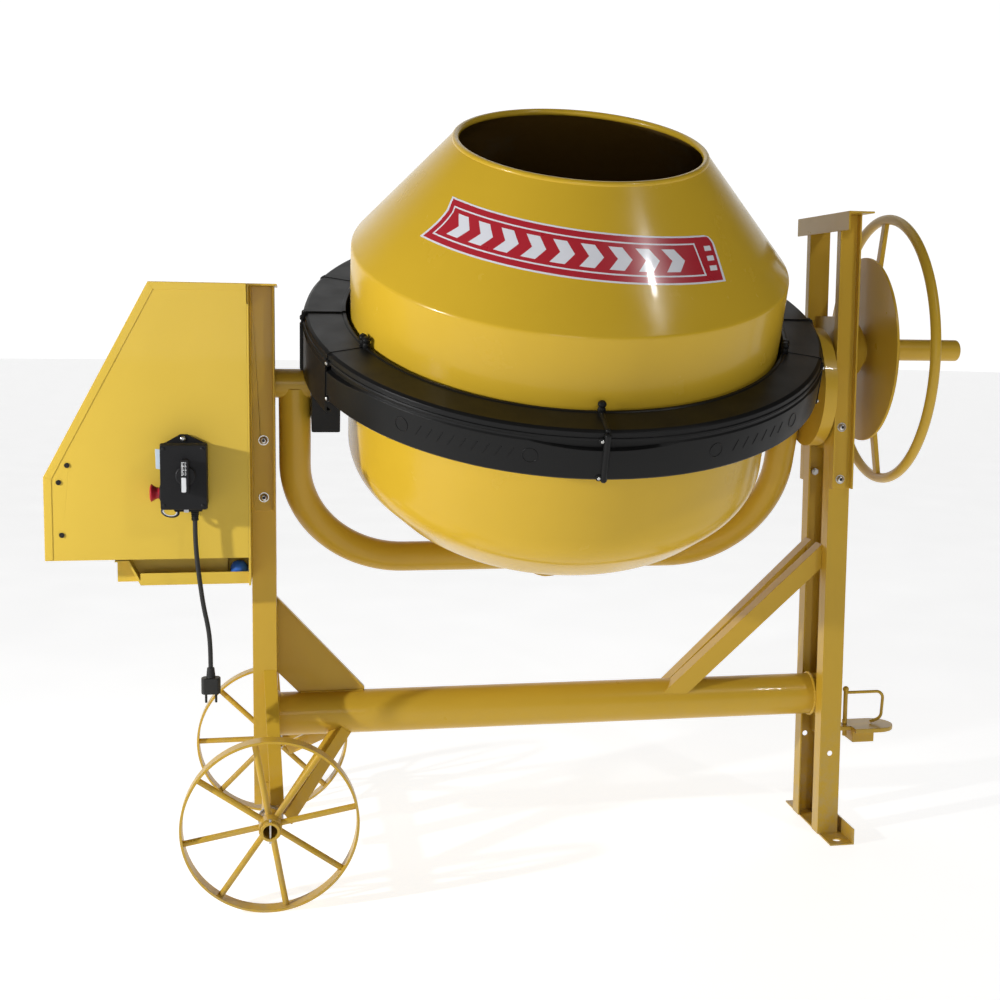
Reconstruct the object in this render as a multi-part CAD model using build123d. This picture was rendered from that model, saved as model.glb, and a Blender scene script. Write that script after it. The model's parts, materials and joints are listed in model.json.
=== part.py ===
"""Tilting-drum concrete mixer on a two-wheel steel frame.

Millimetres, +Z up. The origin is the centre of the foot's underside, on the ground.
+X runs along the machine from the wheels to the foot, and the drum empties towards -Y.
Drum, guard, yoke and pinion are modelled in the yoke's own frame: its origin is the middle
of the tilt axis, its Z is the drum's axis, and YOKE puts it at its resting lean.
"""

import math
import os

from build123d import *

# Overall layout
WHEEL_TRACK = 600.0
WHEEL_R = 170.0
TILT_Z = 1010.0  # height of the drum's tilt axis
DRUM_LEAN = 22.1  # resting lean of the drum towards -Y, degrees
RIGHT_COLUMN_X = -10.0

# Drum, as heights along its axis from the tilt axis, and outside radii
DRUM_R = 450.0
DRUM_WALL = 3.0
MOUTH_R = 257.5
MOUTH_S = 531.5
MOUTH_BEAD_R = 7.0
SHOULDER_S = 301.0
SEAM_S = 100.0
HEEL_S = -165.0
DISH_S = -268.0
DISH_R = 352.0
BOTTOM_S = -322.0
BOTTOM_R = 200.0
HEEL_FILLET = 110.0
DISH_FILLET = 150.0
SHOULDER_FILLET = 14.0

# Crown gear and pinion
MODULE = 8.0
PINION_TEETH = 15
RING_FACE = 40.0
RING_DRUM_GAP = 34.0  # drum wall to the inner ends of the teeth
TOOTH_SHARE = 0.38  # tooth thickness as a share of the pitch
RING_RIM = 15.0
RING_WEB = 8.0
RING_TEETH = math.ceil((DRUM_R + RING_DRUM_GAP + RING_FACE / 2) * 2 / MODULE)
RING_PITCH_R = MODULE * RING_TEETH / 2
PINION_PITCH_R = MODULE * PINION_TEETH / 2
ADDENDUM = 0.88 * MODULE
DEDENDUM = 1.12 * MODULE

# Gear guard
GUARD_GEAR_GAP = 21.0
GUARD_R = RING_PITCH_R + RING_FACE / 2 + GUARD_GEAR_GAP
GUARD_WALL = 3.0
GUARD_TOP_S = 163.0
GUARD_BOTTOM_S = 62.0
GUARD_SIDE_DROP = 30.0  # how much deeper the left piece hangs
GUARD_DRUM_GAP = 7.0
GUARD_LIP = 12.0
GUARD_SIDE_ANGLE = 22.0  # half angle of the left and right pieces
COVER_HALF_Y = 76.0
COVER_BOTTOM_S = -76.0
COVER_WALL = 2.5

# Yoke
YOKE_TUBE_R = 33.0
YOKE_TUBE_WALL = 4.0
YOKE_GEAR_GAP = 1.0
TILT_GEAR_X = RIGHT_COLUMN_X - 56.0
YOKE_RIGHT_X = TILT_GEAR_X - YOKE_GEAR_GAP - YOKE_TUBE_R
DRUM_X = TILT_GEAR_X - 10.0 - GUARD_R
YOKE_LEFT_X = DRUM_X - GUARD_R + 17.0 - YOKE_TUBE_R
AXLE_X = YOKE_LEFT_X - YOKE_TUBE_R - 20.0
YOKE_DEPTH = 425.0
YOKE_BEND_R = 237.0
PIVOT_R = 30.0
PIVOT_WALL = 5.0
PIVOT_LEFT_X = AXLE_X - 66.0
PIVOT_RIGHT_X = AXLE_X + 85.0
BOSS_R = 45.0
DRUM_SHAFT_R = 25.0
RUNNING_GAP = 0.05

# Frame sections
BASE_TUBE_R = 45.7
BASE_TUBE_WALL = 4.0
BASE_TUBE_Z = 308.5
TUBE_LEG_GAP = 0.3
LEG_W = 48.0
LEG_DEPTH = 39.0
PLATE_T = 4.0
LEG_FACE_Y = BASE_TUBE_R + TUBE_LEG_GAP + LEG_DEPTH  # outer face of a leg's web
LEG_TOP_Z = TILT_Z - 50.0
LEFT_COLUMN_X = AXLE_X - 11.0
LEFT_LEG_BOTTOM_Z = WHEEL_R - 30.0
LEG_HOLE_Z = 190.0
HEAD_DEPTH = 22.0
LEFT_HEAD_Z = (TILT_Z - 255.0, TILT_Z + 198.0)
RIGHT_HEAD_Z = (TILT_Z - 219.0, TILT_Z + 375.0)
LEFT_PLATE_Z = (TILT_Z - 110.0, TILT_Z + 110.0)
RIGHT_PLATE_Z = (TILT_Z - 140.0, TILT_Z + 157.0)
CAP_LENGTH = 326.0
CAP_W = 58.0
CAP_DROP = 40.0
FOOT_LENGTH = 306.0
FOOT_W = 56.0
FOOT_HEIGHT = 36.0
FOOT_HOLE_R = 9.0
FOOT_HOLE_SPACING = 250.0
BRACE_W = 40.0
BRACE_REACH = 380.0  # right column to the foot of its braces, along the base tube
BRACE_RISE = 409.0
GUSSET_T = 5.0
GUSSET_RISE = 253.5
GUSSET_REACH = 182.0
BOLT_R = 4.9
BOLT_HEAD_R = 7.5
BOLT_HEAD_H = 6.0
NUT_H = 8.0
HEAD_BOLTS = [
    (LEFT_COLUMN_X + 1, LEG_TOP_Z - 177.0),
    (LEFT_COLUMN_X + 1, LEG_TOP_Z - 61.0),
    (RIGHT_COLUMN_X, LEG_TOP_Z - 149.0),
    (RIGHT_COLUMN_X, LEG_TOP_Z - 34.0),
]

# Axle and wheels
AXLE_R = 18.5
AXLE_BORE_R = 13.5
AXLE_HALF = 345.0
HUB_R = 22.0
HUB_LENGTH = 64.0
RIM_WIDTH = 35.0
RIM_T = 5.0
SPOKES = 8
SPOKE_R = 6.0
SPOKE_PHASE = {"front": 10.0, "rear": 0.0}
SPLIT_PIN_R = 2.5
COLLAR_W = 10.0

# Tilt gear and handwheel
TILT_MODULE = 4.0
TILT_RING_TEETH = 54
TILT_PINION_TEETH = 12
TILT_GEAR_W = 28.0
TILT_GEAR_R = 131.5
TILT_DISC_T = 6.0
TILT_STUB_R = 25.0
HANDWHEEL_R = 300.0
HANDWHEEL_TUBE_R = 11.0
HANDWHEEL_X = RIGHT_COLUMN_X + 123.0
LOCK_DISC_X = RIGHT_COLUMN_X + 74.0
LOCK_DISC_R = 204.0
LOCK_DISC_T = 6.0
BRAKE_HUB_X = RIGHT_COLUMN_X + 38.0
BRAKE_HUB_R = 57.0
GRIP_R = 24.0
GRIP_END_X = RIGHT_COLUMN_X + 306.0
HAND_SHAFT_R = 14.0
TILT_PITCH_R = TILT_MODULE * TILT_RING_TEETH / 2
TILT_PINION_R = TILT_MODULE * TILT_PINION_TEETH / 2
HAND_Z = TILT_Z + TILT_PITCH_R - TILT_PINION_R
BEARING_PLATE_T = 8.0

# Hitch
HITCH_Z = 231.0  # top of the tongue
TONGUE_T = 10.0
TONGUE_W = 90.0
TONGUE_END_X = 170.0
TONGUE_WIDE_X = 66.0
NECK_W = 36.0
PIN_X = 56.0
PIN_R = 5.0
PIN_TOP_Z = 314.0
D_RING_R = 3.5

# Drive housing
HOUSING_FACE_Y = 175.0
HOUSING_RIGHT_X = AXLE_X - 39.0
HOUSING_LEFT_X = AXLE_X - 420.0
HOUSING_PEAK_X = AXLE_X - 222.0
HOUSING_TOP_Z = TILT_Z + 202.0
HOUSING_KNEE_Z = TILT_Z - 174.0
HOUSING_BOTTOM_Z = TILT_Z - 336.0
SHEET = 2.0
HOUSING_SCREWS = [
    (HOUSING_LEFT_X + 44, HOUSING_KNEE_Z + 23),
    (HOUSING_LEFT_X + 28, HOUSING_KNEE_Z - 10),
    (HOUSING_LEFT_X + 32, HOUSING_BOTTOM_Z + 50),
]
TRAY_HALF_Y = 150.0
TRAY_Z = TILT_Z - 392.0
TRAY_LIP = 24.0
TRAY_LEFT_X = AXLE_X - 247.0
TRAY_T = 3.0

# Belt drive and motor
PULLEY_X = AXLE_X - 92.0
PULLEY_W = 26.0
BIG_PULLEY_R = 155.0
SMALL_PULLEY_R = 33.0
GROOVE = 9.0
BELT_W = 15.0
BELT_T = 8.0
BELT_GAP = 0.3
DRIVE_SHAFT_R = 15.0
MOTOR_R = 78.0
MOTOR_Z = TILT_Z - 250.0
MOTOR_X = (AXLE_X - 322.0, AXLE_X - 150.0)
MOTOR_SHAFT_R = 10.0
FAN_COWL_LENGTH = 52.0

# Switch box and lead
BOX_X = AXLE_X - 157.0
BOX_Z = TILT_Z - 169.0
BOX_W = 86.0
BOX_H = 124.0
BOX_DEPTH = 52.0
LID_T = 12.0
STOP_R = 17.0
STOP_Y = -HOUSING_FACE_Y - 30.0
STOP_Z = BOX_Z - 33.0
CORD_R = 4.5
GLAND_R = 9.0
GLAND_LENGTH = 26.0
CORD_TOP = (BOX_X + 18.0, -HOUSING_FACE_Y - BOX_DEPTH / 2, BOX_Z - BOX_H / 2 - GLAND_LENGTH)
CORD_STEPS = [  # from the gland's end
    (0.0, 0.0, 0.0),
    (0.0, 0.0, -31.0),
    (2.5, -2.0, -75.0),
    (8.0, -6.5, -121.0),
    (14.0, -7.5, -168.0),
    (23.0, -5.0, -213.0),
    (26.0, -2.0, -253.0),
    (26.0, -2.0, -291.0),
]
CORD_ROUTE = [tuple(top + step for top, step in zip(CORD_TOP, point)) for point in CORD_STEPS]

YOKE = Pos(DRUM_X, 0, TILT_Z) * Rot(DRUM_LEAN, 0, 0)
SIDES = (-1, 1)


# Helpers


def block(x, y, z):
    """Box between the given (low, high) pairs."""
    size = [pair[1] - pair[0] for pair in (x, y, z)]
    middle = [(pair[0] + pair[1]) / 2 for pair in (x, y, z)]
    return Pos(*middle) * Box(*size)


def rod_x(radius, x0, x1, y=0, z=0):
    """Round bar along X."""
    return Pos((x0 + x1) / 2, y, z) * Rot(0, 90, 0) * Cylinder(radius, x1 - x0)


def rod_y(radius, y0, y1, x=0, z=0):
    """Round bar along Y."""
    return Pos(x, (y0 + y1) / 2, z) * Rot(90, 0, 0) * Cylinder(radius, y1 - y0)


def rod_z(radius, z0, z1, x=0, y=0):
    """Round bar along Z."""
    return Pos(x, y, (z0 + z1) / 2) * Cylinder(radius, z1 - z0)


def turned(points, arc=360.0):
    """Solid of revolution about Z from (radius, height) corners."""
    outline = Polyline([(r, 0, s) for r, s in points], close=True)
    return revolve(make_face(outline), Axis.Z, arc)


def plate_xz(points, y0, y1):
    """Flat plate between two Y values from (x, z) corners."""
    outline = Polyline([(x, y0, z) for x, z in points], close=True)
    return extrude(make_face(outline), amount=y1 - y0, dir=(0, 1, 0))


def plate_yz(points, x0, x1):
    """Flat plate between two X values from (y, z) corners."""
    outline = Polyline([(x0, y, z) for y, z in points], close=True)
    return extrude(make_face(outline), amount=x1 - x0, dir=(1, 0, 0))


def angle_bar(start, end, width, flange_dir, thickness=PLATE_T):
    """L bar from start to end: one flange hangs down, the other reaches along flange_dir."""
    start, end = Vector(*start), Vector(*end)
    run = (end - start).normalized()
    across = Vector(*flange_dir)
    across = (across - run * across.dot(run)).normalized()
    plane = Plane(origin=start, x_dir=across, z_dir=run)
    down = -1 if plane.y_dir.Z > 0 else 1
    corners = [
        (0, 0),
        (width, 0),
        (width, down * thickness),
        (thickness, down * thickness),
        (thickness, down * width),
        (0, down * width),
    ]
    face = make_face(plane * Polyline(*corners, close=True))
    return extrude(face, amount=(end - start).length, dir=run)


def both_sides(part):
    """The part and its mirror image across the machine's mid-plane."""
    return [part, mirror(part, Plane.XZ)]


# Frame


def channel_leg(x_mid, z0, z1):
    """U channel with its web at -Y and its open side towards the middle."""
    x = (x_mid - LEG_W / 2, x_mid + LEG_W / 2)
    inner = (x[0] + PLATE_T, x[1] - PLATE_T)
    outer_box = block(x, (-LEG_FACE_Y, -LEG_FACE_Y + LEG_DEPTH), (z0, z1))
    return outer_box - block(inner, (-LEG_FACE_Y + PLATE_T, 0), (z0 - 1, z1 + 1))


def left_legs():
    """Legs that carry the wheel axle."""
    leg = channel_leg(LEFT_COLUMN_X, LEFT_LEG_BOTTOM_Z, LEG_TOP_Z)
    leg -= rod_y(AXLE_R, -AXLE_HALF, 0, AXLE_X, WHEEL_R)
    return both_sides(leg)


def right_legs():
    """Legs that stand on the foot."""
    leg = channel_leg(RIGHT_COLUMN_X, PLATE_T, LEG_TOP_Z)
    leg -= rod_y(6, -LEG_FACE_Y - 1, -LEG_FACE_Y + PLATE_T + 1, RIGHT_COLUMN_X, LEG_HOLE_Z)
    return both_sides(leg)


def head_channel(x_mid, z):
    """U channel bolted back to back on a leg, its open side outwards."""
    x = (x_mid - LEG_W / 2, x_mid + LEG_W / 2)
    inner = (x[0] + PLATE_T, x[1] - PLATE_T)
    outer_box = block(x, (-LEG_FACE_Y - HEAD_DEPTH, -LEG_FACE_Y), z)
    cut = (-LEG_FACE_Y - HEAD_DEPTH - 1, -LEG_FACE_Y - PLATE_T)
    return outer_box - block(inner, cut, (z[0] - 1, z[1] + 1))


def head_channels():
    """Upper uprights of both columns."""
    left = head_channel(LEFT_COLUMN_X, LEFT_HEAD_Z)
    right = head_channel(RIGHT_COLUMN_X, RIGHT_HEAD_Z)
    return both_sides(left) + both_sides(right)


def cap(x_mid, top):
    """Angle across the top of a column."""
    x0 = x_mid - LEG_W / 2 - PLATE_T
    y = (-CAP_LENGTH / 2, CAP_LENGTH / 2)
    flat = block((x0, x0 + CAP_W), y, (top, top + PLATE_T))
    return flat + block((x0, x0 + PLATE_T), y, (top + PLATE_T - CAP_DROP, top))


def head_caps():
    """Both column caps."""
    return [cap(LEFT_COLUMN_X, LEFT_HEAD_Z[1]), cap(RIGHT_COLUMN_X, RIGHT_HEAD_Z[1])]


def bearing_plate(x_mid, bottom, top):
    """Plate between two uprights, narrower where the legs overlap it."""
    narrow = LEG_FACE_Y - PLATE_T - NUT_H - 2
    corners = [
        (-narrow, bottom),
        (narrow, bottom),
        (narrow, LEG_TOP_Z),
        (LEG_FACE_Y, LEG_TOP_Z),
        (LEG_FACE_Y, top),
        (-LEG_FACE_Y, top),
        (-LEG_FACE_Y, LEG_TOP_Z),
        (-narrow, LEG_TOP_Z),
    ]
    half = BEARING_PLATE_T / 2
    return plate_yz(corners, x_mid - half, x_mid + half)


def bearing_plates():
    """Plates that carry the pivot, tilt and handwheel bearings."""
    left = bearing_plate(LEFT_COLUMN_X, *LEFT_PLATE_Z)
    left -= rod_x(PIVOT_R + 10, LEFT_COLUMN_X - 10, LEFT_COLUMN_X + 10, 0, TILT_Z)
    right = bearing_plate(RIGHT_COLUMN_X, *RIGHT_PLATE_Z)
    right -= rod_x(TILT_STUB_R + 10, RIGHT_COLUMN_X - 30, RIGHT_COLUMN_X + 30, 0, TILT_Z)
    right -= rod_x(HAND_SHAFT_R + 8, RIGHT_COLUMN_X - 30, RIGHT_COLUMN_X + 30, 0, HAND_Z)
    return [left, right]


def flanged_bush(x_mid, bore_r, body_r, z, length):
    """Bearing bush with a round flange against the plate's +X face."""
    half = BEARING_PLATE_T / 2
    bush = rod_x(body_r, x_mid - length / 2, x_mid + length / 2, 0, z)
    bush += rod_x(body_r + 12, x_mid + half, x_mid + half + 6, 0, z)
    return bush - rod_x(bore_r + RUNNING_GAP, x_mid - length, x_mid + length, 0, z)


def bearings():
    """Bushes of the left pivot, the tilt stub and the handwheel shaft."""
    return [
        flanged_bush(LEFT_COLUMN_X, PIVOT_R, PIVOT_R + 10, TILT_Z, 44),
        flanged_bush(RIGHT_COLUMN_X, TILT_STUB_R, TILT_STUB_R + 10, TILT_Z, 44),
        flanged_bush(RIGHT_COLUMN_X, HAND_SHAFT_R, HAND_SHAFT_R + 8, HAND_Z, 44),
    ]


def base_tube():
    """Large tube that joins the two columns."""
    x = (LEFT_COLUMN_X - LEG_W / 2, RIGHT_COLUMN_X + LEG_W / 2)
    tube = rod_x(BASE_TUBE_R, *x, 0, BASE_TUBE_Z)
    return tube - rod_x(BASE_TUBE_R - BASE_TUBE_WALL, x[0] - 1, x[1] + 1, 0, BASE_TUBE_Z)


def column_gusset():
    """Cross plate between the left legs and the triangular gusset on the base tube."""
    right = LEFT_COLUMN_X + LEG_W / 2
    inner = LEG_FACE_Y - LEG_DEPTH
    top = BASE_TUBE_Z + BASE_TUBE_R
    peak = BASE_TUBE_Z + GUSSET_RISE
    far = right + GUSSET_REACH
    cross = block((right - PLATE_T, right), (-inner, inner), (top + 6, peak + 38))
    corners = [(right, peak), (right, top + 46), (right + 44, top), (far, top), (far, top + 8)]
    web = plate_xz(corners, -GUSSET_T / 2, GUSSET_T / 2)
    edge = [(right, peak), (right, peak - 6), (far - 6, top + 8), (far, top + 8)]
    rib = plate_xz(edge, -10, 10)
    return [cross, web + rib]


def tube_braces():
    """Two angles from the base tube up to the right legs, splayed towards the legs."""
    face = RIGHT_COLUMN_X - LEG_W / 2
    reach = RIGHT_COLUMN_X - BRACE_REACH
    low = (reach, -BASE_TUBE_R + 5.7, BASE_TUBE_Z + 22)
    high = (face + 60, -LEG_FACE_Y + 27, BASE_TUBE_Z + BRACE_RISE)
    bar = angle_bar(low, high, BRACE_W, (0, 1, 0))
    bar -= block((face, face + 200), (-200, 200), (0, 1200))
    x = (reach - 145, face)
    bar -= rod_x(BASE_TUBE_R, *x, 0, BASE_TUBE_Z)
    bar -= block(x, (-200, 200), (0, BASE_TUBE_Z + 18))
    return both_sides(bar)


def foot_angle():
    """Angle under the right legs with a hole near each end."""
    x = (-FOOT_W / 2, FOOT_W / 2)
    y = (-FOOT_LENGTH / 2, FOOT_LENGTH / 2)
    foot = block(x, y, (0, PLATE_T))
    foot += block((x[1] - PLATE_T, x[1]), y, (PLATE_T, FOOT_HEIGHT))
    for side in SIDES:
        foot -= rod_z(FOOT_HOLE_R, -1, PLATE_T + 1, -3, side * FOOT_HOLE_SPACING / 2)
    return foot


def axle_tube():
    """Fixed tubular axle through the left legs."""
    tube = rod_y(AXLE_R, -AXLE_HALF, AXLE_HALF, AXLE_X, WHEEL_R)
    tube -= rod_y(AXLE_BORE_R, -AXLE_HALF - 1, AXLE_HALF + 1, AXLE_X, WHEEL_R)
    for side in SIDES:
        y = side * (AXLE_HALF - 6)
        tube -= rod_z(SPLIT_PIN_R, WHEEL_R - 40, WHEEL_R + 40, AXLE_X, y)
    return tube


def axle_pins():
    """Split pins outside the hubs and collars inside them."""
    parts = []
    inner = WHEEL_TRACK / 2 - HUB_LENGTH / 2 - 1.0
    for side in SIDES:
        y = side * (AXLE_HALF - 6)
        parts.append(rod_z(SPLIT_PIN_R, WHEEL_R - 24, WHEEL_R + 24, AXLE_X, y))
        span = sorted((side * inner, side * (inner - COLLAR_W)))
        collar = rod_y(AXLE_R + 6, *span, AXLE_X, WHEEL_R)
        parts.append(collar - rod_y(AXLE_R, -AXLE_HALF, AXLE_HALF, AXLE_X, WHEEL_R))
    return parts


def axle_braces():
    """Angles from each front and rear leg, and from the base tube, out to the axle."""
    inner = WHEEL_TRACK / 2 - HUB_LENGTH / 2 - 14.0
    bore = rod_y(AXLE_R, -AXLE_HALF, AXLE_HALF, AXLE_X, WHEEL_R)
    out = (AXLE_X, -inner, WHEEL_R + 22)
    leg_bar = angle_bar((AXLE_X - 14, -LEG_FACE_Y, 425), out, 26, (1, 0, 0))
    leg_bar -= block((AXLE_X - 99, AXLE_X + 99), (-LEG_FACE_Y, 0), (100, 500))
    leg_bar -= bore
    low = (AXLE_X + 28, -inner + 6, WHEEL_R + 4)
    strut = angle_bar((AXLE_X + 160, -16, BASE_TUBE_Z - 8), low, 30, (0.6, 0.8, 0))
    strut -= rod_x(BASE_TUBE_R, AXLE_X - 100, AXLE_X + 500, 0, BASE_TUBE_Z)
    strut -= bore
    strut -= leg_bar
    return both_sides(leg_bar) + both_sides(strut)


def bolt_y(x, z):
    """Bolt through a head channel's web and the leg behind it."""
    outside = -LEG_FACE_Y - PLATE_T
    inside = -LEG_FACE_Y + PLATE_T
    shank = rod_y(BOLT_R, outside, inside, x, z)
    head = rod_y(BOLT_HEAD_R, outside - BOLT_HEAD_H, outside, x, z)
    return shank + head + rod_y(BOLT_HEAD_R, inside, inside + NUT_H, x, z)


def frame_bolts():
    """Bolts that hold the head channels on the legs."""
    bolts = []
    for x, z in HEAD_BOLTS:
        bolts += both_sides(bolt_y(x, z))
    return bolts


def drilled(parts):
    """Head channels or legs with the bolt holes cut."""
    tools = []
    for x, z in HEAD_BOLTS:
        tools.append(rod_y(BOLT_R, -LEG_FACE_Y - 9, -LEG_FACE_Y + 9, x, z))
        tools.append(rod_y(BOLT_R, LEG_FACE_Y - 9, LEG_FACE_Y + 9, x, z))
    return [part - tools for part in parts]


# Hitch


def hitch_tongue():
    """Towing tongue: cross bar between the legs, neck, rounded plate and socket block."""
    top = HITCH_Z
    low = HITCH_Z - TONGUE_T
    bar = block((0, 8), (-LEG_FACE_Y + PLATE_T, LEG_FACE_Y - PLATE_T), (low - 20, top + 20))
    neck = block((8, TONGUE_WIDE_X + 4), (-NECK_W / 2, NECK_W / 2), (low, top))
    round_x = TONGUE_END_X - TONGUE_W / 2
    plate = block((TONGUE_WIDE_X, round_x), (-TONGUE_W / 2, TONGUE_W / 2), (low, top))
    plate += rod_z(TONGUE_W / 2, low, top, round_x)
    socket = block((TONGUE_WIDE_X, TONGUE_WIDE_X + 52), (-26, 26), (low - 26, low))
    tongue = bar + neck + plate + socket
    return tongue - rod_z(PIN_R + 0.3, low - 1, top + 1, PIN_X)


def hitch_pin():
    """Drop pin with a D-shaped pull handle that rests on the tongue."""
    pin = rod_z(PIN_R, HITCH_Z - 26, PIN_TOP_Z, PIN_X)
    pin += Pos(PIN_X, 0, PIN_TOP_Z) * Sphere(PIN_R + 2.2)
    top = PIN_TOP_Z - 8
    low = HITCH_Z + D_RING_R + 1
    far = PIN_X + 92
    path = FilletPolyline(
        (PIN_X, 0, top), (far, 0, top), (far - 4, 0, low + 8), (far - 30, 0, low), radius=16
    )
    section = Plane(origin=path @ 0, z_dir=path % 0) * Circle(D_RING_R)
    return pin + sweep(section, path=path)


# Wheels


def wheel(side, phase):
    """Flat steel rim, spokes and hub tube of one wheel."""
    y = side * WHEEL_TRACK / 2
    rim_y = (y - RIM_WIDTH / 2, y + RIM_WIDTH / 2)
    hub_y = (y - HUB_LENGTH / 2, y + HUB_LENGTH / 2)
    rim = rod_y(WHEEL_R, *rim_y, AXLE_X, WHEEL_R)
    rim -= rod_y(WHEEL_R - RIM_T, rim_y[0] - 1, rim_y[1] + 1, AXLE_X, WHEEL_R)
    spider = rod_y(HUB_R, *hub_y, AXLE_X, WHEEL_R)
    inner = HUB_R - 2
    length = WHEEL_R - RIM_T - inner
    for number in range(SPOKES):
        turn = phase + number * 360 / SPOKES
        spoke = Rot(0, 90, 0) * Cylinder(SPOKE_R, length)
        spoke = Pos(inner + length / 2, 0, 0) * spoke
        spider += Pos(AXLE_X, y, WHEEL_R) * Rot(0, -turn, 0) * spoke
    spider &= rod_y(WHEEL_R - RIM_T, hub_y[0] - 1, hub_y[1] + 1, AXLE_X, WHEEL_R)
    bore = AXLE_R + RUNNING_GAP
    spider -= rod_y(bore, hub_y[0] - 1, hub_y[1] + 1, AXLE_X, WHEEL_R)
    return [rim, spider]


# Drum, in the yoke's frame


def drum_section():
    """Half section of the drum's wall, open at the mouth."""
    spare = 60.0
    corners = [
        (-spare, BOTTOM_S),
        (BOTTOM_R, BOTTOM_S),
        (DISH_R, DISH_S),
        (DRUM_R, HEEL_S),
        (DRUM_R, SHOULDER_S),
        (MOUTH_R - MOUTH_BEAD_R, MOUTH_S),
        (MOUTH_R - MOUTH_BEAD_R, MOUTH_S + spare),
        (-spare, MOUTH_S + spare),
    ]
    outside = make_face(Polyline(*corners, close=True))
    radii = [
        (BOTTOM_R, BOTTOM_S, DISH_FILLET),
        (DISH_R, DISH_S, DISH_FILLET),
        (DRUM_R, HEEL_S, HEEL_FILLET),
        (DRUM_R, SHOULDER_S, SHOULDER_FILLET),
    ]
    for r, s, radius in radii:
        corner = [v for v in outside.vertices() if abs(v.X - r) + abs(v.Y - s) < 0.01]
        outside = fillet(corner, radius)
    inside = offset(outside, -DRUM_WALL)
    return outside - inside


def drum_piece(low, high):
    """Turned wall of the drum between two heights."""
    window = Pos(500, (low + high) / 2) * Rectangle(1000, high - low)
    half = Plane.XZ * (drum_section() & window)
    return revolve(half, Axis.Z)


def drum_lower():
    """Bottom dish and lower wall."""
    shell = drum_piece(BOTTOM_S - 10, SEAM_S)
    return YOKE * (shell - rod_z(DRUM_SHAFT_R, BOTTOM_S - 20, BOTTOM_S + 20))


def drum_upper():
    """Upper wall, cone and rolled mouth bead."""
    shell = drum_piece(SEAM_S, MOUTH_S - MOUTH_BEAD_R)
    bead = Pos(0, 0, MOUTH_S - MOUTH_BEAD_R) * Torus(MOUTH_R - MOUTH_BEAD_R, MOUTH_BEAD_R)
    return YOKE * (shell + bead)


def crown_teeth():
    """Tapered teeth on the underside of the crown gear, as one sketch pulled down."""
    inner = RING_PITCH_R - RING_FACE / 2
    outer = RING_PITCH_R + RING_FACE / 2
    pitch = 360 / RING_TEETH
    half = math.radians(pitch * TOOTH_SHARE / 2)
    tooth = [
        (inner * math.cos(half), -inner * math.sin(half)),
        (outer * math.cos(half), -outer * math.sin(half)),
        (outer * math.cos(half), outer * math.sin(half)),
        (inner * math.cos(half), inner * math.sin(half)),
    ]
    height = ADDENDUM + DEDENDUM
    face = make_face(Polyline(*tooth, close=True))
    root = Plane.XY.offset(PINION_PITCH_R + DEDENDUM)
    solid = extrude(root * face, amount=-height, taper=8)
    return [Rot(0, 0, 180 + number * pitch) * solid for number in range(RING_TEETH)]


def drum_gear():
    """Crown gear bolted round the drum, teeth downwards."""
    inner = RING_PITCH_R - RING_FACE / 2
    outer = RING_PITCH_R + RING_FACE / 2
    root = PINION_PITCH_R + DEDENDUM
    top = root + RING_RIM
    corners = [
        (DRUM_R, top - RING_WEB),
        (inner, top - RING_WEB),
        (inner, root),
        (outer, root),
        (outer, top),
        (DRUM_R, top),
    ]
    return YOKE * turned(corners).fuse(*crown_teeth())


def drum_blades():
    """Two mixing blades, tilted plates cut to the inside of the wall."""
    inside = DRUM_R - DRUM_WALL
    room = rod_z(inside, HEEL_S + 20, SHOULDER_S - 20)
    parts = []
    for turn in (60, 240):
        plate = Pos(inside - 60, 0, 70) * Rot(28, 0, 0) * Box(150, 8, 300)
        parts.append(YOKE * Rot(0, 0, turn) * (plate & room))
    return parts


def drum_shaft():
    """Flanged stub that carries the drum in the yoke's boss."""
    flange = rod_z(90, BOTTOM_S - 8, BOTTOM_S)
    pin = rod_z(DRUM_SHAFT_R, BOTTOM_S - 130, BOTTOM_S + 14)
    nut = rod_z(DRUM_SHAFT_R + 14, BOTTOM_S + DRUM_WALL, BOTTOM_S + 16)
    return YOKE * (flange + pin + nut)


# Yoke


def yoke_tube():
    """Bent tube under the drum, from the left pivot to the tilt gear."""
    left = YOKE_LEFT_X - DRUM_X
    right = YOKE_RIGHT_X - DRUM_X
    low = -YOKE_DEPTH
    path = FilletPolyline(
        (left, 0, 0), (left, 0, low), (right, 0, low), (right, 0, 33), radius=YOKE_BEND_R
    )
    start = Plane(origin=path @ 0, z_dir=path % 0)
    ring = start * Circle(YOKE_TUBE_R) - start * Circle(YOKE_TUBE_R - YOKE_TUBE_WALL)
    tube = sweep(ring, path=path)
    tube -= rod_x(PIVOT_R, left - 60, left + 60)
    tube -= rod_x(TILT_STUB_R, right - 60, right + 60)
    tube -= rod_z(BOSS_R, low - 60, low + 70)
    return YOKE * tube


def yoke_pivot():
    """Hollow left pivot with the two bushes that carry the drive shaft."""
    tube = rod_x(PIVOT_R, PIVOT_LEFT_X, PIVOT_RIGHT_X, 0, TILT_Z)
    bore = PIVOT_R - PIVOT_WALL
    tube -= rod_x(bore, PIVOT_LEFT_X - 1, PIVOT_RIGHT_X + 1, 0, TILT_Z)
    parts = [tube]
    for x0 in (PIVOT_LEFT_X, PIVOT_RIGHT_X - 24):
        bush = rod_x(bore, x0, x0 + 24, 0, TILT_Z)
        bush -= rod_x(DRIVE_SHAFT_R + RUNNING_GAP, x0 - 1, x0 + 25, 0, TILT_Z)
        parts.append(bush)
    return parts


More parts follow.
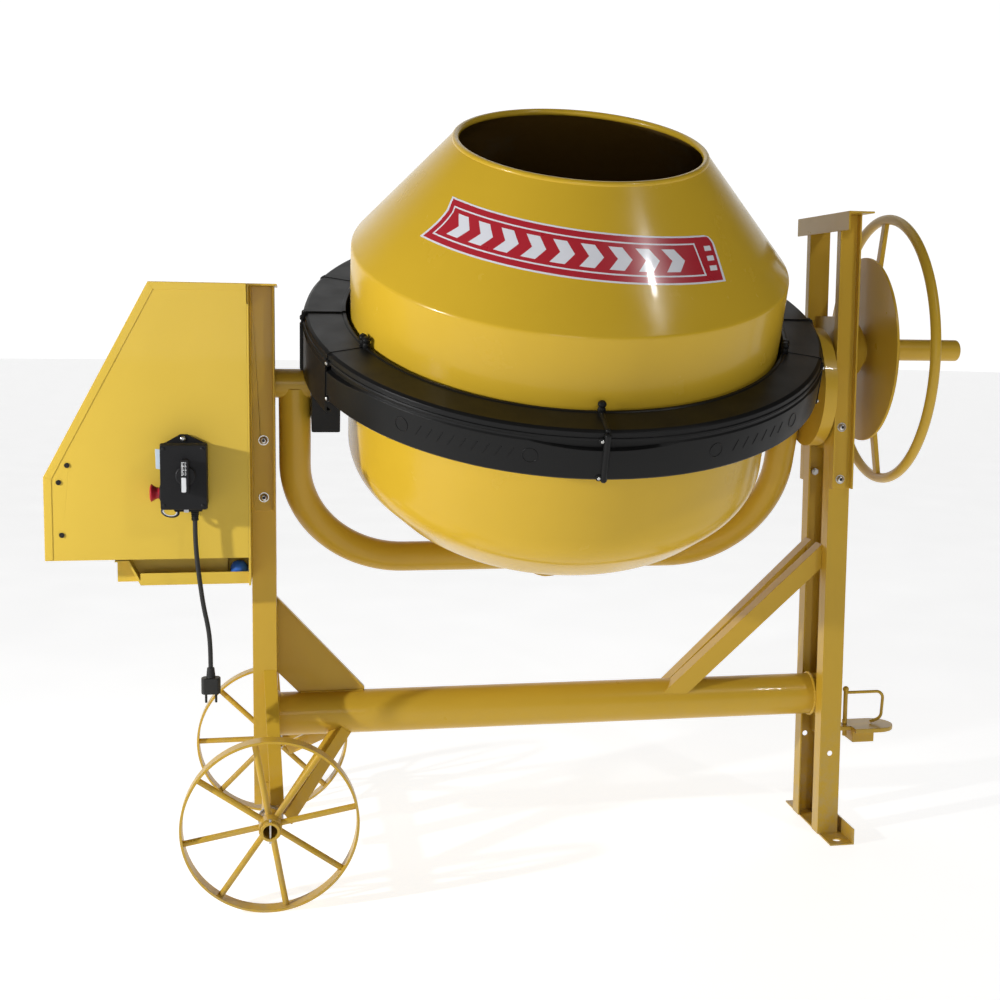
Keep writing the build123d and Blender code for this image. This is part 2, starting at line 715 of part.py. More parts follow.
def drum_boss():
    """Bearing boss in the middle of the yoke, with its domed end cap."""
    low = -YOKE_DEPTH - YOKE_TUBE_R
    top = BOTTOM_S - 40
    boss = rod_z(BOSS_R, low, top)
    dome = Pos(0, 0, low + 8) * Sphere(31)
    boss += dome & rod_z(40, low - 30, low)
    boss -= rod_z(DRUM_SHAFT_R + RUNNING_GAP, BOTTOM_S - 134, top + 1)
    return YOKE * boss


def gear_wheel(teeth, module, addendum, dedendum, thickness, internal=False):
    """Straight-flanked gear outline as a list of (radius, angle) corners."""
    pitch_r = teeth * module / 2
    sign = -1 if internal else 1
    tip = pitch_r + sign * addendum
    root = pitch_r - sign * dedendum
    slope = math.tan(math.radians(20))
    corners = []
    for number in range(teeth):
        middle = 2 * math.pi * number / teeth
        half_tip = (thickness / 2 - addendum * slope) / tip
        half_root = (thickness / 2 + dedendum * slope) / root
        for radius, turn in (
            (root, -half_root),
            (tip, -half_tip),
            (tip, half_tip),
            (root, half_root),
        ):
            corners.append((radius, middle + turn))
    return corners


def gear_face(corners, phase):
    """Face in the YZ plane from polar corners, the angle counted from +Z."""
    points = [
        (0, -r * math.sin(a + phase), r * math.cos(a + phase)) for r, a in corners
    ]
    return make_face(Polyline(*points, close=True))


def tilt_ring_gear():
    """Cup with internal teeth and the stub that turns in the right bearing."""
    x0 = TILT_GEAR_X
    half_pitch = math.pi / TILT_RING_TEETH
    corners = gear_wheel(TILT_RING_TEETH, TILT_MODULE, 3.2, 4.6, 4.9, internal=True)
    hollow = extrude(gear_face(corners, half_pitch), amount=TILT_GEAR_W, dir=(1, 0, 0))
    cup = rod_x(TILT_GEAR_R, x0, x0 + TILT_GEAR_W, 0, TILT_Z)
    cup -= Pos(x0 + TILT_DISC_T, 0, TILT_Z) * hollow
    stub_end = RIGHT_COLUMN_X + 22 + 10
    return cup + rod_x(TILT_STUB_R, YOKE_RIGHT_X - YOKE_TUBE_R, stub_end, 0, TILT_Z)


def guard_profile(bottom):
    """Section of the guard: top wall, outer wall and a small bottom lip."""
    inner = DRUM_R + GUARD_DRUM_GAP
    wall = GUARD_R - GUARD_WALL
    top = GUARD_TOP_S
    return [
        (inner, top - GUARD_WALL),
        (inner, top),
        (GUARD_R - 8, top),
        (GUARD_R, top - 8),
        (GUARD_R, bottom),
        (GUARD_R - GUARD_LIP, bottom),
        (GUARD_R - GUARD_LIP, bottom + GUARD_WALL),
        (wall, bottom + GUARD_WALL),
        (wall, top - 8 - GUARD_WALL / 2),
        (wall - 7, top - GUARD_WALL),
    ]


def guard_arc(start, arc, bottom):
    """One guard piece from a start angle."""
    return YOKE * Rot(0, 0, start) * turned(guard_profile(bottom), arc)


def guard_long(start):
    """Two long guard pieces that meet in the middle."""
    arc = 90 - GUARD_SIDE_ANGLE
    return [guard_arc(start, arc, GUARD_BOTTOM_S), guard_arc(start + arc, arc, GUARD_BOTTOM_S)]


def guard_short(middle, bottom):
    """Two short guard pieces that meet on the tilt axis."""
    arc = GUARD_SIDE_ANGLE
    return [guard_arc(middle - arc, arc, bottom), guard_arc(middle, arc, bottom)]


def guard_brackets():
    """Upright flats that hold the guard on the yoke's two arms."""
    top = GUARD_TOP_S - GUARD_WALL
    outer = GUARD_R - GUARD_LIP - 0.8
    inner = outer - PLATE_T
    left = block((-outer, -inner), (-20, 20), (0, top)) - rod_x(PIVOT_R, -outer - 9, -inner + 9)
    right = block((inner, outer), (-20, 20), (YOKE_TUBE_R, top))
    return [YOKE * left, YOKE * right]


def pinion_cover():
    """Open-bottomed box over the pinion, under the left guard piece."""
    height = (COVER_BOTTOM_S, GUARD_BOTTOM_S - GUARD_SIDE_DROP)
    left = -(RING_PITCH_R + RING_FACE / 2) - COVER_WALL - 1.4
    right = -(RING_PITCH_R - RING_FACE / 2) + 14
    box = block((left, right), (-COVER_HALF_Y, COVER_HALF_Y), height)
    cut_x = (left + COVER_WALL, right - COVER_WALL)
    cut_y = (-COVER_HALF_Y + COVER_WALL, COVER_HALF_Y - COVER_WALL)
    box -= block(cut_x, cut_y, (height[0] - 1, height[1] + 1))
    return YOKE * (box - rod_x(DRIVE_SHAFT_R + 8, left - 1, left + 5))


# Drive


def pinion():
    """Pinion under the crown gear."""
    thickness = math.pi * MODULE * TOOTH_SHARE
    corners = gear_wheel(PINION_TEETH, MODULE, ADDENDUM, DEDENDUM, thickness)
    phase = math.pi / PINION_TEETH
    width = RING_FACE
    blank = extrude(gear_face(corners, phase), amount=width, dir=(1, 0, 0))
    x0 = -(RING_PITCH_R + RING_FACE / 2)
    blank = Pos(x0, 0, 0) * blank
    return YOKE * (blank - rod_x(DRIVE_SHAFT_R, x0 - 1, x0 + width + 1))


def drive_shaft():
    """Shaft through the left pivot, from the large pulley to the pinion."""
    start = PULLEY_X - PULLEY_W / 2 - 6
    end = DRUM_X - RING_PITCH_R + RING_FACE / 2
    return rod_x(DRIVE_SHAFT_R, start, end, 0, TILT_Z)


def grooved_pulley(radius, bore, z):
    """Pulley with one straight-sided groove."""
    x = (PULLEY_X - PULLEY_W / 2, PULLEY_X + PULLEY_W / 2)
    groove_half = BELT_W / 2 + 1
    body = rod_x(radius, *x, 0, z)
    ring = rod_x(radius + 1, PULLEY_X - groove_half, PULLEY_X + groove_half, 0, z)
    ring -= rod_x(radius - GROOVE, PULLEY_X - groove_half, PULLEY_X + groove_half, 0, z)
    return body - ring - rod_x(bore, x[0] - 1, x[1] + 1, 0, z)


def drive_pulley():
    """Large pulley on the drive shaft, webbed."""
    pulley = grooved_pulley(BIG_PULLEY_R, DRIVE_SHAFT_R, TILT_Z)
    for number in range(5):
        turn = math.radians(number * 72)
        y, z = 88 * math.cos(turn), TILT_Z + 88 * math.sin(turn)
        pulley -= rod_x(30, PULLEY_X - PULLEY_W, PULLEY_X + PULLEY_W, y, z)
    return pulley


def motor_pulley():
    """Small pulley on the motor's shaft, with the shaft's end."""
    pulley = grooved_pulley(SMALL_PULLEY_R, MOTOR_SHAFT_R, MOTOR_Z)
    shaft = rod_x(MOTOR_SHAFT_R, MOTOR_X[1] - 30, PULLEY_X + PULLEY_W / 2, 0, MOTOR_Z)
    return pulley + shaft


def belt_loop(inset):
    """Face of the belt's loop about the two pulleys, in the YZ plane."""
    big = BIG_PULLEY_R - GROOVE + BELT_GAP + inset
    small = SMALL_PULLEY_R - GROOVE + BELT_GAP + inset
    centres = TILT_Z - MOTOR_Z
    lean = math.asin((big - small) / centres)
    dy, dz = math.cos(lean), -math.sin(lean)
    upper = (0, big * dy, TILT_Z + big * dz)
    lower = (0, small * dy, MOTOR_Z + small * dz)
    upper_b = (0, -upper[1], upper[2])
    lower_b = (0, -lower[1], lower[2])
    loop = [
        ThreePointArc(upper, (0, 0, TILT_Z + big), upper_b),
        Line(upper_b, lower_b),
        ThreePointArc(lower_b, (0, 0, MOTOR_Z - small), lower),
        Line(lower, upper),
    ]
    return make_face(Wire(Curve() + loop))


def drive_belt():
    """Belt from the motor pulley to the large pulley."""
    ring = extrude(belt_loop(BELT_T), amount=BELT_W, dir=(1, 0, 0))
    ring -= extrude(belt_loop(0), amount=BELT_W, dir=(1, 0, 0))
    return Pos(PULLEY_X - BELT_W / 2, 0, 0) * ring


def motor_body():
    """Motor with its foot plate on the tray."""
    barrel = rod_x(MOTOR_R, *MOTOR_X, 0, MOTOR_Z)
    feet_x = (TRAY_LEFT_X + 12, MOTOR_X[1] - 12)
    foot = block(feet_x, (-70, 70), (TRAY_Z + TRAY_T, MOTOR_Z - 40))
    box = block((MOTOR_X[1] - 110, MOTOR_X[1] - 20), (-45, 45), (MOTOR_Z, MOTOR_Z + 104))
    body = barrel + foot + box
    return body - rod_x(MOTOR_SHAFT_R + RUNNING_GAP, MOTOR_X[1] - 31, MOTOR_X[1] + 1, 0, MOTOR_Z)


def motor_fan_cowl():
    """Cup over the motor's fan."""
    x0 = MOTOR_X[0] - FAN_COWL_LENGTH
    cup = rod_x(MOTOR_R + 2, x0, MOTOR_X[0], 0, MOTOR_Z)
    return cup - rod_x(MOTOR_R - 1, x0 + 3, MOTOR_X[0] + 1, 0, MOTOR_Z)


# Housing


def housing_outline(inset=0.0):
    """Corners of the housing's side, drawn in by a distance on the outer edges."""
    slant = math.atan2(HOUSING_TOP_Z - HOUSING_KNEE_Z, HOUSING_PEAK_X - HOUSING_LEFT_X)
    knee = inset * math.tan((math.pi / 2 - slant) / 2)
    peak = inset / math.tan((math.pi - slant) / 2)
    return [
        (HOUSING_RIGHT_X, HOUSING_BOTTOM_Z),
        (HOUSING_RIGHT_X, HOUSING_TOP_Z - inset),
        (HOUSING_PEAK_X + peak, HOUSING_TOP_Z - inset),
        (HOUSING_LEFT_X + inset, HOUSING_KNEE_Z - knee),
        (HOUSING_LEFT_X + inset, HOUSING_BOTTOM_Z),
    ]


def housing_front():
    """Flat front panel with its screw holes."""
    panel = plate_xz(housing_outline(), -HOUSING_FACE_Y, -HOUSING_FACE_Y + SHEET)
    return panel - [rod_y(2.6, -HOUSING_FACE_Y - 9, 0, x, z) for x, z in HOUSING_SCREWS]


def housing_rear():
    """Flat rear panel."""
    panel = plate_xz(housing_outline(), HOUSING_FACE_Y - SHEET, HOUSING_FACE_Y)
    return panel - [rod_y(2.6, 0, HOUSING_FACE_Y + 9, x, z) for x, z in HOUSING_SCREWS]


def housing_screws():
    """Dark screws at the left edge of both panels."""
    parts = []
    for x, z in HOUSING_SCREWS:
        face = -HOUSING_FACE_Y
        screw = rod_y(2.6, face, face + 14, x, z) + rod_y(5, face - 2.2, face, x, z)
        parts += both_sides(screw)
    return parts


def housing_wrap():
    """Strip over the top, down the slope and down the left end, with screw tabs."""
    span = (-HOUSING_FACE_Y + SHEET, HOUSING_FACE_Y - SHEET)
    wrap = plate_xz(housing_outline(), *span)
    inner = housing_outline(SHEET)
    far = HOUSING_RIGHT_X + 9
    inner[0] = (far, HOUSING_BOTTOM_Z - 9)
    inner[1] = (far, inner[1][1])
    inner[4] = (inner[4][0], HOUSING_BOTTOM_Z - 9)
    wrap -= plate_xz(inner, *span)
    for side in SIDES:
        y = sorted((side * span[1], side * (span[1] - 3)))
        tab = plate_xz(housing_outline(SHEET), *y) & block(
            (HOUSING_LEFT_X, HOUSING_LEFT_X + 56), y, (HOUSING_BOTTOM_Z, HOUSING_KNEE_Z + 50)
        )
        holes = [rod_y(2.6, y[0] - 9, y[1] + 9, x, z) for x, z in HOUSING_SCREWS]
        wrap += tab - holes
    return wrap


def housing_backplate():
    """Sheet between the housing and the left column, with the shaft's opening."""
    x = (HOUSING_RIGHT_X, LEFT_COLUMN_X - LEG_W / 2)
    top = LEFT_HEAD_Z[1] + PLATE_T - CAP_DROP
    plate = block(x, (-HOUSING_FACE_Y, HOUSING_FACE_Y), (TRAY_Z, top))
    return plate - rod_x(PIVOT_R + 12, x[0] - 1, x[1] + 1, 0, TILT_Z)


def motor_tray():
    """Folded tray under the motor, with a sloping left end and low lips."""
    x = (TRAY_LEFT_X, HOUSING_RIGHT_X)
    y = (-TRAY_HALF_Y, TRAY_HALF_Y)
    tray = block(x, y, (TRAY_Z, TRAY_Z + TRAY_T))
    rise = HOUSING_BOTTOM_Z - 6 - TRAY_Z
    slope = [
        (TRAY_LEFT_X, TRAY_Z),
        (TRAY_LEFT_X + TRAY_T, TRAY_Z + TRAY_T),
        (TRAY_LEFT_X + TRAY_T - 24, TRAY_Z + rise),
        (TRAY_LEFT_X - 48, TRAY_Z + rise),
        (TRAY_LEFT_X - 48, TRAY_Z + rise - TRAY_T),
        (TRAY_LEFT_X - 24, TRAY_Z + rise - TRAY_T),
    ]
    tray += plate_xz(slope, *y)
    for side in SIDES:
        lip = sorted((y[1] * side, (y[1] - TRAY_T) * side))
        tray += block(x, lip, (TRAY_Z, TRAY_Z + TRAY_LIP))
    return tray


def tension_knob():
    """Blue domed knob behind the tray's front lip."""
    x, y = AXLE_X - 59, -TRAY_HALF_Y + 24
    base = TRAY_Z + TRAY_T
    knob = rod_z(17, base, base + 24, x, y)
    knob += Pos(x, y, base + 24) * Sphere(17)
    return knob & block((x - 40, x + 40), (y - 40, y + 40), (base, base + 60))


# Switch box and lead


def switch_box():
    """Lower half of the switch box with its screw ear."""
    x = (BOX_X - BOX_W / 2, BOX_X + BOX_W / 2)
    z = (BOX_Z - BOX_H / 2, BOX_Z + BOX_H / 2)
    y = (-HOUSING_FACE_Y - BOX_DEPTH, -HOUSING_FACE_Y)
    box = block(x, y, z)
    box = fillet(box.edges().filter_by(Axis.Y), 8)
    wall = 3.0
    cavity_y = (y[0] - 1, y[1] - wall)
    box -= block((x[0] + wall, x[1] - wall), cavity_y, (z[0] + wall, z[1] - wall))
    ear = [(BOX_X - 14, z[1]), (BOX_X + 30, z[1]), (BOX_X + 8, z[1] + 15)]
    box += plate_xz(ear, y[1] - 8, y[1])
    box -= rod_y(2.2, y[1] - 9, y[1] + 1, BOX_X + 7, z[1] + 7)
    box -= rod_x(STOP_R - 6, x[0] - 1, x[0] + 5, STOP_Y, STOP_Z)
    return box - rod_z(GLAND_R - 3, z[0] - 1, z[0] + 4, CORD_TOP[0], CORD_TOP[1])


def switch_lid():
    """Front half of the switch box."""
    x = (BOX_X - BOX_W / 2 - 1, BOX_X + BOX_W / 2 + 1)
    z = (BOX_Z - BOX_H / 2 - 1, BOX_Z + BOX_H / 2 + 1)
    y1 = -HOUSING_FACE_Y - BOX_DEPTH
    lid = block(x, (y1 - LID_T, y1), z)
    lid = fillet(lid.edges().filter_by(Axis.Y), 9)
    lid = chamfer(lid.faces().sort_by(Axis.Y)[0].edges(), 2.5)
    return lid - rod_y(6.2, y1 - LID_T - 1, y1 + 1, BOX_X + 4, BOX_Z + 4)


def selector_knob():
    """Raised rotary grip on the lid."""
    y1 = -HOUSING_FACE_Y - BOX_DEPTH - LID_T - 0.5
    x, z = BOX_X + 4, BOX_Z + 4
    knob = rod_y(19, y1 - 5, y1, x, z)
    knob += block((x - 7, x + 7), (y1 - 20, y1 - 5), (z - 19, z + 19))
    return knob + rod_y(6, y1, y1 + 14, x, z)


def stop_button():
    """Mushroom button on the left side of the switch box."""
    x0 = BOX_X - BOX_W / 2
    head = rod_x(STOP_R, x0 - 19, x0 - 11, STOP_Y, STOP_Z)
    head = fillet(head.edges().sort_by(Axis.X)[0], 5)
    return head + rod_x(STOP_R - 6.5, x0 - 11, x0 + 2, STOP_Y, STOP_Z)


def cord_gland():
    """Tapered strain relief under the switch box."""
    top = BOX_Z - BOX_H / 2
    x, y = CORD_TOP[0], CORD_TOP[1]
    gland = Pos(x, y, top - GLAND_LENGTH / 2) * Cone(CORD_R + 2.5, GLAND_R, GLAND_LENGTH)
    gland += rod_z(GLAND_R - 3, top, top + 3, x, y)
    return gland - rod_z(CORD_R, top - GLAND_LENGTH - 1, top + 4, x, y)


def cord():
    """Free lead: straight runs joined by tangent arcs as large as the runs allow."""
    points = [Vector(*point) for point in CORD_ROUTE]
    runs = [end - start for start, end in zip(points, points[1:])]
    radii = []
    for before, after in zip(runs, runs[1:]):
        turn = math.radians(before.get_angle(after))
        radii.append(0.45 * min(before.length, after.length) / math.tan(turn / 2))
    print("cord arc radii", [round(radius) for radius in radii])
    path = FilletPolyline(*points, radius=radii)
    print("cord length", round(path.length, 1))
    section = Plane(origin=path @ 0, z_dir=path % 0) * Circle(CORD_R)
    return sweep(section, path=path)


def plug():
    """Moulded plug with two pins, hanging on the lead's end."""
    x, y, z = CORD_ROUTE[-1]
    neck = Pos(x, y, z - 10) * Cone(9, CORD_R + 2.5, 20)
    body = Pos(x, y, z - 20 - 16) * Cylinder(18.5, 32)
    body &= block((x - 18.5, x + 18.5), (y - 13, y + 13), (z - 60, z))
    plug_part = neck + body
    for side in SIDES:
        plug_part += rod_z(2.4, z - 52 - 19, z - 52, x + side * 9.5, y)
    return plug_part


# Handwheel


def handwheel_rim():
    """Bent tube rim."""
    centre = HANDWHEEL_R - HANDWHEEL_TUBE_R
    return Pos(HANDWHEEL_X, 0, HAND_Z) * Rot(0, 90, 0) * Torus(centre, HANDWHEEL_TUBE_R)


def handwheel_spokes():
    """Two dished flat spokes from the grip tube to the rim."""
    inner_x = LOCK_DISC_X + LOCK_DISC_T
    reach = HANDWHEEL_R - HANDWHEEL_TUBE_R
    spokes = []
    rim_cut = handwheel_rim()
    for side in SIDES:
        z0, z1 = HAND_Z + side * GRIP_R, HAND_Z + side * reach
        corners = [
            (inner_x + 4, z0),
            (inner_x + 16, z0),
            (HANDWHEEL_X + 5, z1),
            (HANDWHEEL_X - 5, z1),
        ]
        spokes.append(plate_xz(corners, -10, 10) - rim_cut)
    return spokes


def lock_disc():
    """Flat disc behind the handwheel with its toothed hub."""
    disc = rod_x(LOCK_DISC_R, LOCK_DISC_X, LOCK_DISC_X + LOCK_DISC_T, 0, HAND_Z)
    hub = rod_x(BRAKE_HUB_R, BRAKE_HUB_X, BRAKE_HUB_X + 22, 0, HAND_Z)
    neck = rod_x(36, BRAKE_HUB_X + 22, LOCK_DISC_X, 0, HAND_Z)
    return disc + hub + neck - rod_x(HAND_SHAFT_R, BRAKE_HUB_X - 9, LOCK_DISC_X + 9, 0, HAND_Z)


def handwheel_shaft():
    """Shaft from the tilt pinion, swelling into the long grip tube."""
    start = TILT_GEAR_X + TILT_DISC_T + 2
    grip_x = LOCK_DISC_X + LOCK_DISC_T
    shaft = rod_x(HAND_SHAFT_R, start, grip_x, 0, HAND_Z)
    grip = rod_x(GRIP_R, grip_x, GRIP_END_X, 0, HAND_Z)
    grip = fillet(grip.edges().sort_by(Axis.X)[-1], 7)
    return shaft + grip


def tilt_pinion():
    """Small pinion inside the tilt gear's cup."""
    corners = gear_wheel(TILT_PINION_TEETH, TILT_MODULE, 3.2, 4.6, 4.6)
    x0 = TILT_GEAR_X + TILT_DISC_T + 2
    blank = extrude(gear_face(corners, 0), amount=TILT_GEAR_W - TILT_DISC_T, dir=(1, 0, 0))
    blank = Pos(x0, 0, HAND_Z) * blank
    return blank - rod_x(HAND_SHAFT_R, x0 - 1, x0 + TILT_GEAR_W, 0, HAND_Z)


NODES = {
    "left_legs": lambda: drilled(left_legs()),
    "right_legs": lambda: drilled(right_legs()),
    "head_channels": lambda: drilled(head_channels()),
    "head_caps": head_caps,
    "bearing_plates": bearing_plates,
    "bearings": bearings,
    "base_tube": base_tube,
    "column_gusset": column_gusset,
    "tube_braces": tube_braces,
    "foot_angle": foot_angle,
    "axle_tube": axle_tube,
    "axle_pins": axle_pins,
    "axle_braces": axle_braces,
    "frame_bolts": frame_bolts,
    "hitch_tongue": hitch_tongue,
    "hitch_pin": hitch_pin,
    "front_wheel": lambda: wheel(-1, SPOKE_PHASE["front"]),
    "rear_wheel": lambda: wheel(1, SPOKE_PHASE["rear"]),
    "drum_lower": drum_lower,
    "drum_upper": drum_upper,
    "drum_gear": drum_gear,
    "drum_blades": drum_blades,
    "drum_shaft": drum_shaft,
    "yoke_tube": yoke_tube,
    "yoke_pivot": yoke_pivot,
    "drum_boss": drum_boss,
    "tilt_ring_gear": tilt_ring_gear,
    "guard_front": lambda: guard_long(180 + GUARD_SIDE_ANGLE),
    "guard_rear": lambda: guard_long(GUARD_SIDE_ANGLE),
    "guard_left": lambda: guard_short(180, GUARD_BOTTOM_S - GUARD_SIDE_DROP),
    "guard_right": lambda: guard_short(0, GUARD_BOTTOM_S),
    "guard_brackets": guard_brackets,
    "pinion_cover": pinion_cover,
    "pinion": pinion,
    "drive_shaft": drive_shaft,
    "drive_pulley": drive_pulley,
    "motor_pulley": motor_pulley,
    "drive_belt": drive_belt,
    "motor_body": motor_body,
    "motor_fan_cowl": motor_fan_cowl,
    "housing_front": housing_front,
    "housing_rear": housing_rear,
    "housing_wrap": housing_wrap,
    "housing_backplate": housing_backplate,
    "housing_screws": housing_screws,
    "motor_tray": motor_tray,
    "tension_knob": tension_knob,
    "switch_box": switch_box,
    "switch_lid": switch_lid,
    "selector_knob": selector_knob,
    "stop_button": stop_button,
    "cord_gland": cord_gland,
    "cord": cord,
    "plug": plug,
    "handwheel_rim": handwheel_rim,
    "handwheel_spokes": handwheel_spokes,
    "lock_disc": lock_disc,
    "handwheel_shaft": handwheel_shaft,
    "tilt_pinion": tilt_pinion,
}


def write(name, made):
    """Write one node's solids to its file."""
    parts = made if isinstance(made, (list, tuple)) else [made]
    solids = [solid for part in parts for solid in part.solids()]
    export_step(Compound(children=solids, label=name), f"parts/{name}.step")


os.makedirs("parts", exist_ok=True)
for node, make in NODES.items():
    write(node, make())
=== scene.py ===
"""Tilting-drum concrete mixer: enamelled steel frame, drum, black gear guard, switch box and lead.

Metres. The CAD frame gives every place: the drum's parts are drawn about the drum's own axis
and put in place by YOKE. Lengths written with mm() are millimetres.
"""
import json
import math

import bmesh
import bpy
from mathutils import Matrix, Vector

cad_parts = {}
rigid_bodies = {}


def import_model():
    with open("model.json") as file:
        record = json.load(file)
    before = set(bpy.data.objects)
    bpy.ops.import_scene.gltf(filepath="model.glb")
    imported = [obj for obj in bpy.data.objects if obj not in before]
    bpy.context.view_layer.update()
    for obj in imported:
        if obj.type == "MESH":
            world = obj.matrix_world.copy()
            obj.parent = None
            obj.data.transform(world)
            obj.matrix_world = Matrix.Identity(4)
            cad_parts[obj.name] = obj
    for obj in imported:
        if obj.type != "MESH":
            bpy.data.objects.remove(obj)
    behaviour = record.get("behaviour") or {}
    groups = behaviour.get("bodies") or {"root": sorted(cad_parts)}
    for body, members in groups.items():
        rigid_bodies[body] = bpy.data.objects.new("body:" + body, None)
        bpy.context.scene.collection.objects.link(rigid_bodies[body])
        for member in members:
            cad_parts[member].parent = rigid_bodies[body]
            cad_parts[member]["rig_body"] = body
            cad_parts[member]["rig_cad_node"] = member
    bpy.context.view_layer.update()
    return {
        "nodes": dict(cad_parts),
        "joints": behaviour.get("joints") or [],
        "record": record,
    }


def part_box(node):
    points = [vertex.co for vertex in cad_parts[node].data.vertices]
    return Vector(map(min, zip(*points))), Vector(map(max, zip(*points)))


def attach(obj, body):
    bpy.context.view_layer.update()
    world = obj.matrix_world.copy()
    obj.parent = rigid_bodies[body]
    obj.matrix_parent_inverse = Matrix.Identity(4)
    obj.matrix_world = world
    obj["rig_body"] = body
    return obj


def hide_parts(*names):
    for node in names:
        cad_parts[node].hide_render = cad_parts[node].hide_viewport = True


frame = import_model()

nodes = frame["nodes"]
joints = {joint["name"]: joint for joint in frame["joints"]}
groups = frame["record"]["behaviour"]["bodies"]
body_of_node = {node: body for body, members in groups.items() for node in members}


def mm(*lengths):
    """Millimetres as metres: one number, or a point."""
    metres = tuple(length / 1000 for length in lengths)
    return metres[0] if len(metres) == 1 else metres


def mm_points(points):
    """Pairs of millimetres as metres."""
    return [mm(*point) for point in points]


def middle(node):
    """Middle of a CAD node's box."""
    corner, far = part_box(node)
    return (corner + far) / 2


drum_axis = Vector(joints["drum_spin"]["axis"])
LEAN = math.atan2(-drum_axis.y, drum_axis.z)
YOKE = Matrix.Translation(joints["drum_spin"]["pos_m"]) @ Matrix.Rotation(LEAN, 4, "X")
AXLE = middle("axle_tube")

DRUM_WALL = mm(3)
SAME_POINT = mm(0.01)
FRONT = (0, -1, 0)
LEFT = (-1, 0, 0)
QUARTER = math.pi / 2


# Camera and light


def camera():
    """Camera at the height of the drum's middle, a little to the left."""
    yaw, pitch, roll = 0.2150, -0.1119, 0.0172
    level = math.cos(pitch)
    forward = Vector((math.sin(yaw) * level, math.cos(yaw) * level, math.sin(pitch)))
    right = Vector((math.cos(yaw), -math.sin(yaw), 0))
    up = right.cross(forward)
    across = math.cos(roll) * right + math.sin(roll) * up
    upward = math.cos(roll) * up - math.sin(roll) * right
    turn = Matrix((across, upward, -forward)).transposed().to_4x4()
    data = bpy.data.cameras.new("camera")
    data.sensor_width = 36
    data.lens = 53.98
    data.shift_x = -0.1116
    data.shift_y = -0.0207
    view = bpy.data.objects.new("camera", data)
    bpy.context.scene.collection.objects.link(view)
    view.matrix_world = Matrix.Translation((-1.20052, -3.18543, 1.17086)) @ turn
    bpy.context.scene.camera = view


def lamp(name, at, target, size, watts):
    """Soft square light at a point, turned to its target."""
    data = bpy.data.lights.new(name, "AREA")
    data.shape = "RECTANGLE"
    data.size, data.size_y = size
    data.energy = watts
    light = bpy.data.objects.new(name, data)
    bpy.context.scene.collection.objects.link(light)
    aim = (Vector(target) - Vector(at)).to_track_quat("-Z", "Y")
    light.matrix_world = Matrix.Translation(at) @ aim.to_matrix().to_4x4()


def lights():
    """Hard key from the left, soft top light, small front light, low fill and a surround."""
    target = (-0.6, 0, 0.85)
    lamp("key_light", (-3.1, -0.98, 1.3), target, (0.08, 0.08), 44)
    lamp("top_light", (-0.8, 1.6, 4.2), target, (3.2, 2.4), 16)
    lamp("front_light", (1.0, -2.41, 2.93), (-0.54, -0.5, 1.2), (0.13, 0.22), 17)
    lamp("fill_light", (-1.4, -4.6, 1.5), target, (1.2, 1.2), 17)
    world = bpy.data.worlds.new("surround")
    bpy.context.scene.world = world
    world.use_nodes = True
    tree = world.node_tree
    where = tree.nodes.new("ShaderNodeTexCoord")
    split = tree.nodes.new("ShaderNodeSeparateXYZ")
    ramp = tree.nodes.new("ShaderNodeValToRGB")
    for stop, (place, grey) in zip(ramp.color_ramp.elements, ((0.74, 0.02), (0.95, 1.06))):
        stop.position = place
        stop.color = (grey, grey, grey, 1)
    spread = tree.nodes.new("ShaderNodeMapRange")
    spread.inputs["From Min"].default_value = -1
    background = tree.nodes["Background"]
    tree.links.new(where.outputs["Generated"], split.inputs[0])
    tree.links.new(split.outputs["Y"], spread.inputs["Value"])
    tree.links.new(spread.outputs["Result"], ramp.inputs[0])
    tree.links.new(ramp.outputs[0], background.inputs["Color"])
    bpy.context.scene.view_settings.view_transform = "Standard"
    bpy.context.scene.view_settings.look = "None"


# Modelling helpers


def deselect():
    bpy.ops.object.select_all(action="DESELECT")


def take(piece):
    """Selects one piece alone and makes it active."""
    deselect()
    piece.hide_set(False)
    piece.select_set(True)
    bpy.context.view_layer.objects.active = piece


def edit(piece, kind="FACE", everything=False):
    """Edit mode on one piece, with all or nothing selected."""
    take(piece)
    bpy.ops.object.mode_set(mode="EDIT")
    bpy.ops.mesh.select_mode(type=kind)
    bpy.ops.mesh.select_all(action="SELECT" if everything else "DESELECT")


def done():
    bpy.ops.object.mode_set(mode="OBJECT")


def pick(piece, kind, test):
    """Edit mode with the faces or edges selected that pass a test."""
    edit(piece, kind)
    mesh = bmesh.from_edit_mesh(piece.data)
    for part in mesh.faces if kind == "FACE" else mesh.edges:
        if test(part):
            part.select_set(True)
    bmesh.update_edit_mesh(piece.data)


def named(name):
    """The primitive just added, named."""
    piece = bpy.context.object
    piece.name = name
    return piece


def settle(piece, matrix=None):
    """Puts a piece's place into its mesh, moved by a matrix first."""
    if matrix is not None:
        piece.matrix_world = matrix @ piece.matrix_world
    take(piece)
    bpy.ops.object.transform_apply(location=True, rotation=True, scale=True)
    return piece


def add_block(name, x, y, z):
    """Block between (low, high) pairs."""
    centre = [(pair[0] + pair[1]) / 2 for pair in (x, y, z)]
    deselect()
    bpy.ops.mesh.primitive_cube_add(size=1, location=centre)
    piece = named(name)
    piece.scale = [pair[1] - pair[0] for pair in (x, y, z)]
    return settle(piece)


def add_disc(name, radius, depth, at, sides):
    """Round bar along Z with its middle at a point."""
    deselect()
    bpy.ops.mesh.primitive_cylinder_add(vertices=sides, radius=radius, depth=depth, location=at)
    return settle(named(name))


